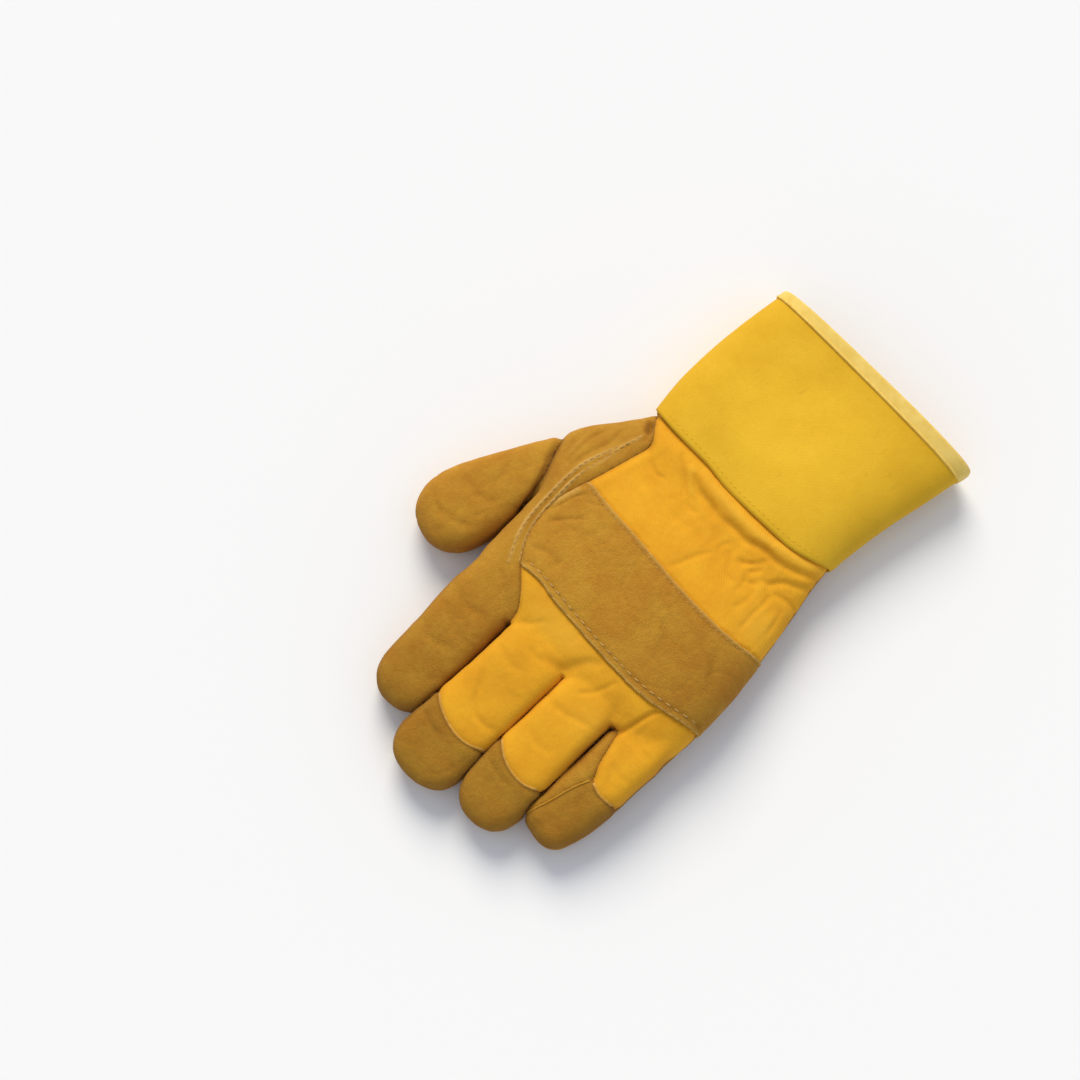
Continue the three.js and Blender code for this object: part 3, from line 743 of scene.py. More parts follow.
def swollen(co, normals, closing):
    """How far the fingers and the thumb swell back to their width, and towards each other."""
    fingers = np.clip((-73 - co[:, 1]) / 6, 0, 1)
    beyond_seam = np.clip(-from_line(co[:, :2], LINES["thumb"])[0], 0, 1)
    fingers += beyond_seam * np.clip(-co[:, 1] / 10, 0, 1)
    widened = (SLIT_ROOM + 0.15 + closing) * np.hypot(normals[:, 0], normals[:, 1])
    return np.clip(fingers, 0, 1) * widened


def folded(co, normals, under_strap, free_drill, on_leather):
    """How far folds, gathers and creases move each point, outwards where it is above zero."""
    plan = co[:, :2]
    top = np.clip(normals[:, 2] * 3 + 0.6, 0, 1)
    under = np.clip(-normals[:, 2] * 3, 0, 1)
    folds = fold_depths(plan, BACK_FOLDS) * (1 - under_strap) * (plan[:, 0] > -42)
    folds += fold_depths(plan, LEATHER_FOLDS) * on_leather
    folds *= top
    folds += gathers(co) * top * free_drill
    folds += fold_depths(plan, PALM_FOLDS) * under
    folds -= 0.1 * creases(co * (1, 0.5, 1), 21, 23, 0.06) * free_drill
    folds -= 0.18 * creases(co * (1, 0.5, 1), 17, 24, 0.06) * on_leather
    return folds


def darkened(co, normals, nearest, folds, closing, free_drill, on_leather):
    """How much painted shade each point gets in the seams, in the folds, between the fingers and
    towards the index finger's tip, from 0 to 1, with a random darker tone and a darker patch on the
    drill.
    """
    plan = co[:, :2]
    # Painted shade on the fingers' sides in the slits, less where the fingers close up
    shade_beside_slits = np.clip((-68 - plan[:, 1]) / 6, 0, 1) * np.clip((co[:, 2] - 5) / 6, 0, 1)
    shade_beside_slits *= np.clip(0.75 - normals[:, 2], 0, 0.75) * (1 - 1.6 * closing)
    shades = np.exp(-((nearest / 1.1) ** 2)) * 0.7 + np.clip(-folds, 0, 3) * 0.17 + shade_beside_slits
    # Painted shade towards the index finger's tip
    shades += 0.3 * on_leather * np.clip((-95 - plan[:, 1]) / 30, 0, 1) * (plan[:, 0] < -27)
    # A random darker tone, and a darker patch on the middle finger, on the drill
    shades += 0.2 * free_drill * np.clip(unevenness(co, 19, 31), 0, 1)
    shades += 0.25 * free_drill * patch_of(plan, -5, -99, 12, 12)
    return np.clip(shades, 0, 1)


LOWEST = 0.05  # how far off the floor every point of the skin stays

# Patches where the drill is painted paler: x, y, width, length and how much
PALER_PATCHES = ((-8, -65, 22, 7, 0.6), (53, -2, 10, 9, 0.5), (30, -84, 10, 10, 0.3))


def sculpted(bm, names):
    """Moves the skin's points: fingers back to their width, seams drawn in, folds and creases.
    The layer shade keeps painted shade, as deep as a point lies in a seam or a fold, and
    painted_light_and_wear keeps painted light, in part wear, as far as it stands up."""
    shade = bm.verts.layers.float.new("shade")
    painted_light_and_wear = bm.verts.layers.float.new("painted_light_and_wear")
    bm.normal_update()
    bm.verts.index_update()
    co = coordinates(bm)
    plan = co[:, :2]
    normals = np.array([vert.normal for vert in bm.verts], float)
    on_drill = share_of_points(bm, names, "back")
    wrist_edge, finger_edge = (from_line(plan, LINES[edge])[0] for edge in STRAP_EDGES)
    under_strap = on_drill * (wrist_edge < 1) * (finger_edge > -1)
    free_drill = on_drill * (1 - under_strap)
    on_leather = 1 - on_drill
    closing = sum(
        share * np.exp(-((past_slit(name, co[:, 0], co[:, 1]) / 7) ** 2))
        for name, share in SLITS_CLOSED.items()
    )
    folds = folded(co, normals, under_strap, free_drill, on_leather)
    depth, nearest = drawn_in(seams_of(bm, names), co)
    depth += swollen(co, normals, closing)
    depth += folds - 0.4 * under_strap
    depth += 0.5 * unevenness(co, 24, 1)
    depth += 0.2 * unevenness(co, 8, 2) * (1 - under_strap)
    moved = co + normals * depth[:, None]
    moved[:, 2] = np.maximum(moved[:, 2], LOWEST)
    # Painted shade, with some darker tone, for the layer shade
    shades = darkened(co, normals, nearest, folds, closing, free_drill, on_leather)
    # Painted light, in part wear, as far as a fold stands up, with the paler patches on the drill
    paler_tone = sum(amount * patch_of(plan, *place) for *place, amount in PALER_PATCHES)
    raised_folds = np.clip(folds, 0, 1) + paler_tone * free_drill
    for vert, place, dark, light in zip(bm.verts, moved, shades, raised_folds):
        vert.co = place
        vert[shade] = dark
        vert[painted_light_and_wear] = light


def share_of_points(bm, names, wanted):
    """For each point, how much of what surrounds it belongs to a piece."""
    found = np.zeros(len(bm.verts))
    for vert in bm.verts:
        faces = vert.link_faces
        found[vert.index] = sum(names[face.index] == wanted for face in faces) / len(faces)
    return found


def settle(made, material, slot, *nodes):
    """Brings a finished piece from the plan into the frame, gives it its finish and hides the imported
    parts that it stands for."""
    made.data.transform(PLAN_TO_FRAME)
    made.data.materials.clear()
    made.data.materials.append(material)
    for polygon in made.data.polygons:
        polygon.use_smooth = True
    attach(made, "root")
    if nodes:
        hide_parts(*nodes)
    return made


def thickened(made, thickness, outwards=False):
    """Gives a sheet its thickness, inwards unless it lies on top of another."""
    wall = made.modifiers.new("thickness", "SOLIDIFY")
    wall.thickness = thickness
    wall.offset = 1 if outwards else -1
    return baked(made)


def only(bm, keep):
    """A copy of a bmesh with only the faces that keep is true for."""
    copy = bm.copy()
    copy.faces.ensure_lookup_table()
    unwanted = [face for face, wanted in zip(copy.faces, keep) if not wanted]
    bmesh.ops.delete(copy, geom=unwanted, context="FACES")
    return copy


def face_centres(bm):
    """The middle of each face."""
    return np.array([face.calc_center_median() for face in bm.faces], float)


# Finishes

def mixed(tree, fac, first, second, blend="MIX"):
    """A colour part of the way from the first to the second."""
    node = tree.nodes.new("ShaderNodeMix")
    node.data_type = "RGBA"
    node.blend_type = blend
    for socket, value in ((node.inputs[0], fac), (node.inputs[6], first), (node.inputs[7], second)):
        if isinstance(value, bpy.types.NodeSocket):
            tree.links.new(value, socket)
        else:
            socket.default_value = value
    return node.outputs[2]


def lumps(tree, scale, detail=3.0, roughness=0.5, place=None):
    """Cloudy noise, with about scale lumps to the metre."""
    node = tree.nodes.new("ShaderNodeTexNoise")
    node.inputs["Scale"].default_value = scale
    node.inputs["Detail"].default_value = detail
    node.inputs["Roughness"].default_value = roughness
    tree.links.new(place or object_place(tree), node.inputs["Vector"])
    return node.outputs["Fac"]


def object_place(tree):
    """Where a point lies on its own object."""
    found = tree.nodes.get("place")
    if found is None:
        found = tree.nodes.new("ShaderNodeTexCoord")
        found.name = "place"
    return found.outputs["Object"]


def spread(tree, value, low, high):
    """Stretches the part of a value between low and high to 0 and 1."""
    node = tree.nodes.new("ShaderNodeMapRange")
    node.inputs["From Min"].default_value = low
    node.inputs["From Max"].default_value = high
    tree.links.new(value, node.inputs["Value"])
    return node.outputs["Result"]


def calculated(tree, operation, first, second=0.0):
    """The result of one sum with values or sockets."""
    node = tree.nodes.new("ShaderNodeMath")
    node.operation = operation
    for socket, value in zip(node.inputs, (first, second)):
        if isinstance(value, bpy.types.NodeSocket):
            tree.links.new(value, socket)
        else:
            socket.default_value = value
    return node.outputs[0]


def raised(tree, height, distance, strength=1.0, before=None):
    """Relief of a pattern's height, on top of the relief that came before."""
    node = tree.nodes.new("ShaderNodeBump")
    node.inputs["Distance"].default_value = distance
    node.inputs["Strength"].default_value = strength
    tree.links.new(height, node.inputs["Height"])
    if before is not None:
        tree.links.new(before, node.inputs["Normal"])
    return node.outputs["Normal"]


def threads(tree, across, pitch):
    """Parallel threads: a ridge at every pitch, in metres, along a direction."""
    turned = tree.nodes.new("ShaderNodeVectorMath")
    turned.operation = "DOT_PRODUCT"
    tree.links.new(object_place(tree), turned.inputs[0])
    turned.inputs[1].default_value = Vector(across)
    phase = calculated(tree, "MULTIPLY", turned.outputs["Value"], 2 * math.pi / pitch)
    wave = calculated(tree, "SINE", phase)
    return calculated(tree, "MULTIPLY_ADD", wave, 0.5)


def finish(name, roughness, sheen):
    """A new material with its plain values set."""
    material = bpy.data.materials.new(name)
    material.use_nodes = True
    shader = material.node_tree.nodes["Principled BSDF"]
    shader.inputs["Roughness"].default_value = roughness
    shader.inputs["Specular IOR Level"].default_value = 0.15
    shader.inputs["Sheen Weight"].default_value = sheen
    shader.inputs["Sheen Roughness"].default_value = 0.5
    return material, material.node_tree, shader


def attribute(tree, name):
    """A number kept on the piece's own points."""
    node = tree.nodes.new("ShaderNodeAttribute")
    node.attribute_name = name
    return node.outputs["Fac"]


def shaded(tree, colour, dark, light):
    """Mixes painted shade into a colour where the layer shade is high, as in seams and folds, and
    painted light, in part wear, where painted_light_and_wear is high, as on raised ridges.
    """
    colour = mixed(tree, calculated(tree, "MULTIPLY", attribute(tree, "shade"), 0.6), colour, dark)
    return mixed(tree, calculated(tree, "MULTIPLY", attribute(tree, "painted_light_and_wear"), 0.75), colour, light)


def split_leather(name, depth):
    """Suede-side split leather: mottled, with a short nap. depth scales how light its colours are."""
    material, tree, shader = finish(name, 0.92, 0.03)

    def scaled_colour(red, green, blue):
        return red * depth, green * depth, blue * depth, 1

    broad = spread(tree, lumps(tree, 48, 3, 0.55), 0.38, 0.62)
    patchy = spread(tree, lumps(tree, 170, 4, 0.6), 0.32, 0.68)
    grainy = spread(tree, lumps(tree, 620, 4, 0.65), 0.34, 0.66)
    nap = spread(tree, lumps(tree, 1700, 3, 0.7), 0.3, 0.7)
    tone = mixed(tree, broad, scaled_colour(0.41, 0.176, 0.016), scaled_colour(0.50, 0.268, 0.026))
    redder = mixed(tree, patchy, scaled_colour(0.40, 0.168, 0.014), scaled_colour(0.50, 0.256, 0.026))
    colour = mixed(tree, 0.5, tone, redder)
    colour = mixed(tree, mixed_amount(tree, grainy, 0.24), colour, scaled_colour(0.32, 0.135, 0.012))
    colour = mixed(tree, mixed_amount(tree, nap, 0.2), colour, scaled_colour(0.30, 0.13, 0.012))
    # The painted shade's dark brown and the painted light's pale tan
    colour = shaded(tree, colour, scaled_colour(0.13, 0.048, 0.006), (0.72, 0.46, 0.13, 1))
    tree.links.new(colour, shader.inputs["Base Color"])
    bump = raised(tree, lumps(tree, 420, 5, 0.62), 0.0006, 0.8)
    bump = raised(tree, nap, 0.00025, 0.8, bump)
    tree.links.new(bump, shader.inputs["Normal"])
    return material


def mixed_amount(tree, value, amount):
    """How much of a second colour shows where a value is low."""
    return calculated(tree, "MULTIPLY", calculated(tree, "SUBTRACT", 1.0, value), amount)


def cotton_drill():
    """Orange-yellow cotton drill with a fine diagonal twill."""
    material, tree, shader = finish("cotton drill", 0.86, 0.02)
    twill = threads(tree, (0.577, 0.577, 0.577), 0.00075)
    paler_tone = spread(tree, lumps(tree, 60, 4, 0.6), 0.34, 0.66)
    colour = mixed(tree, paler_tone, (0.76, 0.345, 0.015, 1), (0.85, 0.42, 0.02, 1))
    slub = spread(tree, lumps(tree, 900, 3, 0.6), 0.35, 0.7)
    colour = mixed(tree, mixed_amount(tree, slub, 0.18), colour, (0.60, 0.25, 0.012, 1))
    colour = mixed(tree, mixed_amount(tree, twill, 0.10), colour, (0.58, 0.25, 0.012, 1))
    # The painted shade's dark orange and the painted light's pale yellow
    colour = shaded(tree, colour, (0.42, 0.16, 0.012, 1), (0.88, 0.47, 0.04, 1))
    tree.links.new(colour, shader.inputs["Base Color"])
    bump = raised(tree, lumps(tree, 260, 4, 0.55), 0.0005, 0.5)
    bump = raised(tree, twill, 0.00009, 0.8, bump)
    tree.links.new(bump, shader.inputs["Normal"])
    return material


def stiffened_cloth():
    """The cuff's starched cotton: a plain weave with thicker slubs here and there."""
    material, tree, shader = finish("stiffened cuff cloth", 0.8, 0.0)
    warp = threads(tree, (1.0, 0.0, 0.35), 0.0009)
    weft = threads(tree, (0.0, 1.0, 0.35), 0.0010)
    weave = calculated(tree, "MULTIPLY", warp, weft)
    stretched = tree.nodes.new("ShaderNodeMapping")
    stretched.inputs["Scale"].default_value = (1.0, 0.22, 1.0)
    tree.links.new(object_place(tree), stretched.inputs["Vector"])
    slubs = spread(tree, lumps(tree, 620, 3, 0.6, stretched.outputs["Vector"]), 0.62, 0.74)
    cloudy = spread(tree, lumps(tree, 60, 4, 0.6), 0.34, 0.66)
    colour = mixed(tree, cloudy, (0.82, 0.458, 0.018, 1), (0.90, 0.525, 0.026, 1))
    colour = mixed(tree, calculated(tree, "MULTIPLY", slubs, 0.25), colour, (0.42, 0.23, 0.02, 1))
    grainy = spread(tree, lumps(tree, 800, 4, 0.65), 0.34, 0.66)
    colour = mixed(tree, mixed_amount(tree, grainy, 0.14), colour, (0.52, 0.27, 0.016, 1))
    colour = mixed(tree, mixed_amount(tree, weave, 0.10), colour, (0.54, 0.29, 0.014, 1))
    # The painted shade's dark ochre and the painted light's pale yellow
    colour = shaded(tree, colour, (0.42, 0.24, 0.012, 1), (0.92, 0.60, 0.05, 1))
    tree.links.new(colour, shader.inputs["Base Color"])
    bump = raised(tree, lumps(tree, 320, 4, 0.6), 0.0003, 0.4)
    bump = raised(tree, weave, 0.00008, 0.7, bump)
    tree.links.new(bump, shader.inputs["Normal"])
    return material


def folded_tape():
    """The binding's tape, paler and finer than the cuff."""
    material, tree, shader = finish("binding tape", 0.75, 0.1)
    ribs = threads(tree, (1.0, 0.2, 0.3), 0.0008)
    cloudy = spread(tree, lumps(tree, 160, 4, 0.6), 0.35, 0.65)
    colour = mixed(tree, cloudy, (0.80, 0.54, 0.11, 1), (0.88, 0.63, 0.165, 1))
    colour = mixed(tree, mixed_amount(tree, ribs, 0.12), colour, (0.58, 0.32, 0.03, 1))
    tree.links.new(colour, shader.inputs["Base Color"])
    tree.links.new(raised(tree, ribs, 0.0001, 0.8), shader.inputs["Normal"])
    return material


def pale_cord(name, dark, light):
    """Thread or a seam's turned edge."""
    material, tree, shader = finish(name, 0.8, 0.15)
    twist = threads(tree, (0.8, 0.9, 0.3), 0.0006)
    uneven = spread(tree, lumps(tree, 500, 3, 0.6), 0.35, 0.65)
    colour = mixed(tree, uneven, dark, light)
    colour = mixed(tree, mixed_amount(tree, twist, 0.2), colour, dark)
    tree.links.new(colour, shader.inputs["Base Color"])
    tree.links.new(raised(tree, twist, 0.0001, 0.8), shader.inputs["Normal"])
    return material


LEATHER = split_leather("split leather", 1.15)
STRAP_LEATHER = split_leather("strap leather", 1.24)
# The fingertips' darker copy of the leather is painted shade
TIP_LEATHER = split_leather("fingertip leather", 0.94)
DRILL = cotton_drill()
CUFF_CLOTH = stiffened_cloth()
TAPE = folded_tape()
THREAD = pale_cord("tan thread", (0.50, 0.28, 0.07, 1), (0.66, 0.40, 0.12, 1))
DRILL_EDGE = pale_cord("turned drill edge", (0.53, 0.26, 0.03, 1), (0.68, 0.36, 0.06, 1))
YELLOW_EDGE = pale_cord("pale yellow edge", (0.84, 0.52, 0.08, 1), (0.93, 0.66, 0.15, 1))
PIPING = pale_cord("piping", (0.60, 0.34, 0.11, 1), (0.78, 0.48, 0.20, 1))


# The sewn pieces

skin = joined_hand()
cut_seams(skin)
skin.faces.ensure_lookup_table()
skin.faces.index_update()
face_names = piece_of(face_centres(skin))
without_scraps(skin, face_names)
sculpted(skin, face_names)
skin.normal_update()
skin_tree = BVHTree.FromBMesh(skin)

SKIN_PIECES = {
    "palm": ("palm_leather", LEATHER, "leather"),
    "thumb": ("thumb_leather", STRAP_LEATHER, "leather"),
    "middle_front": ("middle_front_leather", LEATHER, "leather"),
    "ring_front": ("ring_front_leather", LEATHER, "leather"),
    "back": ("back_drill", DRILL, "drill"),
    "middle_tip": ("middle_tip_leather", TIP_LEATHER, "leather"),
    "ring_tip": ("ring_tip_leather", TIP_LEATHER, "leather"),
    "little_tip": ("little_tip_leather", TIP_LEATHER, "leather"),
}


def sewn_piece(node):
    """One leather or drill piece of the hand, cut from the skin along its seams."""
    name, material, slot = SKIN_PIECES[node]
    made = object_from(only(skin, face_names == node), name)
    return settle(thickened(made, WALL), material, slot, node)


for node_name in SKIN_PIECES:
    sewn_piece(node_name)


def shifted(line, sideways):
    """A line in plan moved square to itself, to its left when its start is above."""
    dense = densely(line, 2.0)
    runs = np.gradient(dense, axis=0)
    runs /= np.hypot(*runs.T)[:, None]
    return [tuple(p) for p in dense + np.stack([-runs[:, 1], runs[:, 0]], 1) * sideways]


def part_of(line, low, high, axis):
    """The points of a line between two limits along an axis."""
    return [p for p in densely(line, 1.5).tolist() if low <= p[axis] <= high]


STRAP_STITCH_LINES = (
    part_of(shifted(STRAP_WRIST_EDGE, -2.0), -46, 63, 0),
    part_of(shifted(STRAP_FINGER_EDGE, 3.0), -40, 65, 0),
)


def ragged(co):
    """How far the strap's cut edges stray from their lines."""
    return 0.25 * unevenness(co, 3.5, 8)


def tucked_in(strap, to_edge):
    """How far the strap's end at the thumb's side lies in the back seam, from 0 to 1."""
    ends = [vert for vert, gap in zip(strap.verts, to_edge) if vert.is_boundary and gap > 0.6]
    at_seam = [vert for vert in ends if vert.co.x < 0]
    tree = KDTree(len(at_seam))
    for i, vert in enumerate(at_seam):
        tree.insert(vert.co, i)
    tree.balance()
    gaps = np.array([tree.find(vert.co)[2] for vert in strap.verts])
    return np.exp(-((gaps / 1.7) ** 2))


def strap_layer():
    """The part of the back that the strap covers, cut out along its ragged edges."""
    sheet = only(skin, face_names == "back")
    for edge in STRAP_EDGES:
        co = coordinates(sheet)
        gap, _ = from_line(co[:, :2], LINES[edge])
        cut_along(sheet, gap + ragged(co), np.abs(gap) < NEAR_SEAM)
    centres = face_centres(sheet)
    wrist_gap, finger_gap = (from_line(centres[:, :2], LINES[edge])[0] for edge in STRAP_EDGES)
    strap = only(sheet, (wrist_gap + ragged(centres) < 0) & (finger_gap + ragged(centres) > 0))
    sheet.free()
    return strap


def knuckle_strap():
    """The leather strap across the knuckles, one raw-edged layer on top of the back."""
    strap = strap_layer()
    strap.normal_update()
    co = coordinates(strap)
    normals = np.array([vert.normal for vert in strap.verts], float)
    plan = co[:, :2]
    to_edge = np.minimum(*(np.abs(from_line(plan, LINES[edge])[0]) for edge in STRAP_EDGES))
    grooves = np.zeros(len(co))
    for line in STRAP_STITCH_LINES:
        grooves += np.exp(-((from_line(plan, densely(line))[0] / 0.9) ** 2))
    folds = fold_depths(plan, STRAP_FOLDS) * np.clip(normals[:, 2] * 2, 0, 1)
    depth = 0.35 + folds - 0.35 * grooves
    depth += 0.15 * unevenness(co, 9, 6)
    depth -= 0.25 * creases(co, 17, 25, 0.05)
    tucked = tucked_in(strap, to_edge)
    depth -= 1.3 * tucked
    shade, painted_light_and_wear = (strap.verts.layers.float[name] for name in ("shade", "painted_light_and_wear"))
    # Painted light on the raised folds, with paler cut edges; painted shade in the stitch grooves, in
    # the folds and where the end tucks into the seam; a darker tone towards the little finger
    edge_light = np.exp(-((to_edge / 0.7) ** 2)) * 0.7
    darker = 0.34 * np.clip((co[:, 0] + 5) / 60, 0, 1) ** 1.3
    shades = grooves * 0.3 + np.maximum(-folds, 0) * 0.5 + darker + 0.4 * tucked
    lights = edge_light + np.maximum(folds, 0)
    moved = co + normals * depth[:, None]
    for vert, place, dark, light in zip(strap.verts, moved, shades, lights):
        vert.co = place
        vert[shade] = min(1, dark)
        vert[painted_light_and_wear] = min(1, light)
    made = object_from(strap, "knuckle_strap_leather")
    thickened(made, OVERLAY, outwards=True)
    tree = BVHTree.FromPolygons(
        [v.co.copy() for v in made.data.vertices], [p.vertices[:] for p in made.data.polygons]
    )
    settle(made, STRAP_LEATHER, "leather", "knuckle_strap")
    return tree


strap_tree = knuckle_strap()


def cuff_rows(start, end):
    """The cuff's cross-sections between two places along it."""
    rows = filled_in(column(HAND_COLUMNS, CUFF), CUFF_STEP, CUFF_ROUNDING)
    return [row for row in rows if start - 0.01 <= row["y"] <= end + 0.01]


def cuff_fullness(turn):
    """The cuff is rounder on the little finger's side."""
    return CUFF_FULLNESS + 0.16 * max(0.0, -math.cos(turn))


def drawn_up(x, y):
    """How far the cuff's seam is drawn away from the fingers at the little finger's side and at
    the thumb's."""
    sides = 4.4 * np.clip((x - 34) / 20, 0, 1) ** 1.5 + 2.1 * np.clip((-2 - x) / 14, 0, 1)
    return sides * np.clip(1 - (y - CUFF_START) / 20, 0, 1)


def safety_cuff():
    """The stiff flared cuff: one tube, with a stitched edge where it meets the hand."""
    bm = bmesh.new()
    rows = cuff_rows(CUFF_START, CUFF_END)
    lofted(bm, rows, CUFF_SIDES, lambda row, turn: on_section(
        row, turn, cuff_fullness(turn), floor=CUFF_FLOOR
    ))
    bmesh.ops.recalc_face_normals(bm, faces=bm.faces)
    bm.normal_update()
    co = coordinates(bm)
    normals = np.array([vert.normal for vert in bm.verts], float)
    if (normals[:, 2] * (co[:, 2] - 16)).sum() < 0:
        bmesh.ops.reverse_faces(bm, faces=bm.faces)
        normals = -normals
    base = co[:, 1] - CUFF_START
    top = np.clip((co[:, 2] - 16) / 16, 0, 1)
    hem = base + HEM_BOW * np.sqrt(np.clip(1 - (1 - top) ** 2, 0, 1))
    depth = -0.15 * np.exp(-(((hem - 2.0) / 0.9) ** 2)) - 0.7 * np.exp(-((hem / 1.1) ** 2))
    depth += 0.5 * unevenness(co, 38, 11) + 0.12 * unevenness(co, 12, 12)
    moved = co + normals * depth[:, None]
    moved[:, 1] += drawn_up(co[:, 0], co[:, 1])
    # Painted light in the cuff's middle and painted shade away from it, with more painted shade on the
    # little finger's side, which is turned away from the light
    middle = patch_of(co, 10, 70, 40, 35)
    turned_away = patch_of(co, 53, 60, 9, 18)
    shade, painted_light_and_wear = (bm.verts.layers.float.new(name) for name in ("shade", "painted_light_and_wear"))
    for vert, place, pale, dark in zip(bm.verts, moved, middle, turned_away):
        vert.co = place
        vert[shade] = 0.5 * (1 - pale) + 0.3 * dark
        vert[painted_light_and_wear] = 0.25 * pale
    tree = BVHTree.FromBMesh(bm)
    made = object_from(bm, "safety_cuff_cloth")
    settle(thickened(made, CUFF_WALL), CUFF_CLOTH, "cuff_cloth", "cuff")
    return tree


cuff_tree = safety_cuff()

# The turns of the cross-sections' points over the top of the cuff
TOP_TURNS = np.linspace(0.03, 0.97, 160) * math.pi


def cuff_binding():
    """The tape folded over the cuff's rim: a closed band of rings, out, over and in again."""
    width, inside = 6.0, CUFF_WALL
    profile = (
        (-width, 0.1), (-width, 0.4), (-4.2, 0.55), (-2.0, 0.65), (0.2, 0.7), (0.8, 0.3), (1.0, -0.8),
        (0.8, -inside - 0.1), (0.2, -inside - 0.7), (-2.0, -inside - 0.8), (-width, -inside - 0.7),
        (-width, -inside - 0.15),
    )
    rim = cuff_rows(CUFF_END - 12, CUFF_END)
    rows = []
    for along, out in profile + profile[:1]:
        row = dict(min(rim, key=lambda candidate: abs(candidate["y"] - CUFF_END - along)))
        row["y"] = CUFF_END + max(along, -4.8)
        row["slant"] = 0.014 + 0.02 * max(0.0, -along / width)
        row["out"] = out
        rows.append(row)
    bm = bmesh.new()

    def placed(row, turn, out=0.0):
        """A point of the band, a little farther in where out is below zero."""
        grow = row["out"] + out
        floor = CUFF_FLOOR - row["out"]
        place = on_section(row, turn, cuff_fullness(turn), grow=grow, floor=floor)
        place.y -= row["slant"] * place.x
        return place

    lofted(bm, rows, CUFF_SIDES, placed)
    bmesh.ops.remove_doubles(bm, verts=bm.verts, dist=0.001)
    bmesh.ops.recalc_face_normals(bm, faces=bm.faces)
    made = object_from(bm, "cuff_binding_tape")
    smooth = made.modifiers.new("soft folds", "SUBSURF")
    smooth.levels = smooth.render_levels = 1
    settle(baked(made), TAPE, "binding_tape", "cuff_binding")
    bm = bmesh.new()
    tube(bm, [placed(rows[1], turn, -0.1) for turn in TOP_TURNS[6:-6]], 0.65)
    settle_small(bm, "binding_edge", YELLOW_EDGE, "binding_tape")


def pulse_patch():
    """The leather patch on the palm side of the cuff, with its end rounded off."""
    bm = bmesh.new()
    across, along = PATCH["right"] - PATCH["left"], PATCH["end"] - PATCH["start"]
    bmesh.ops.create_grid(bm, x_segments=round(across / 1.5), y_segments=round(along / 1.5), size=0.5)
    middle = (PATCH["left"] + PATCH["right"]) / 2
    for vert in bm.verts:
        y = PATCH["start"] + (vert.co.y + 0.5) * along
        beyond = max(0.0, (y - PATCH["shoulder"]) / (PATCH["end"] - PATCH["shoulder"]))
        half = across / 2 * (1 - 0.42 * beyond**2.2) - 0.05 * (y - PATCH["start"])
        vert.co = (middle + vert.co.x * 2 * half, y, 0.4)
    for vert in bm.verts:
        vert.co.z += 0.1 * (1 + noise.noise(vert.co / 7))
    made = object_from(bm, "pulse_patch_leather")
    settle(thickened(made, OVERLAY - 0.1, outwards=True), LEATHER, "leather", "pulse_patch")


pulse_patch()


# Seam cords and stitches

def on_surface(tree, x, y, from_above=True):
    """Where an upright line through a place in plan meets a surface, and the way it faces."""
    start = Vector((x, y, 90 if from_above else -30))
    place, normal, _, _ = tree.ray_cast(start, Vector((0, 0, -1 if from_above else 1)))
    if place is None:
        return None
    if (normal.z > 0) != from_above:
        normal = -normal
    return place, normal


def tube(bm, points, radius, sides=8):
    """A round cord through points."""
    rows = []
    for i, point in enumerate(points):
        ahead = points[min(i + 1, len(points) - 1)] - points[max(i - 1, 0)]
        rows.append(Matrix.Translation(point) @ ahead.to_track_quat("Z", "Y").to_matrix().to_4x4())
    ends = lofted(bm, rows, sides, lambda row, turn: row @ Vector(
        (radius * math.cos(turn), radius * math.sin(turn), 0)
    ))
    for end in ends:
        bmesh.ops.edgeloop_fill(bm, edges=end)


def cord_on(tree, line, radius, sink, from_above=True):
    """The points of a cord that lies along a line in plan, sunk a little into a surface."""
    points = []
    for x, y in densely(line, 1.5):
        hit = on_surface(tree, x, y, from_above)
        if hit is not None:
            points.append(hit[0] + hit[1] * (radius - sink))
    return points


def stitch(bm, place, ahead, normal, length, width):
    """One stitch: a small bead, long and low, half sunk."""
    side = normal.cross(ahead).normalized()
    turn = Matrix((ahead.normalized(), side, normal)).transposed().to_4x4()
    size = Matrix.Diagonal((length / 2, width / 2, width / 2.4, 1))
    matrix = Matrix.Translation(place + normal * width * 0.1) @ turn @ size
    bmesh.ops.create_icosphere(bm, subdivisions=1, radius=1, matrix=matrix)


def stitch_row(bm, tree, line, pitch=3.4, length=2.6, width=0.62, from_above=True):
    """Stitches at every pitch along a line in plan."""
    places = densely(line, pitch)
    for (x, y), (next_x, next_y) in zip(places, places[1:]):
        here = on_surface(tree, x, y, from_above)
        there = on_surface(tree, next_x, next_y, from_above)
        if here is None or there is None or (there[0] - here[0]).length > pitch * 2.5:
            continue
        ahead = there[0] - here[0]
        stitch(bm, (here[0] + there[0]) / 2, ahead, (here[1] + there[1]).normalized(), length, width)


# The two rows of stitches on the ridges beside the back seam
BACK_SEAM_STITCHES = (
    ((-46, 25), (-49, 16), (-50.2, 4), (-53.0, -8), (-52.7, -20), (-52.6, -31), (-51, -40),
     (-47.2, -49), (-42.4, -56.8)),
    ((-50, 14), (-53, 5), (-55.9, -6), (-56.2, -16), (-55.6, -29), (-54.9, -40), (-50.8, -51.6),
     (-45.4, -60.6)),
)


def settle_small(bm, name, material, slot):
    """Finishes a small piece that has no node of its own."""
    bmesh.ops.recalc_face_normals(bm, faces=bm.faces)
    return settle(object_from(bm, name), material, slot)


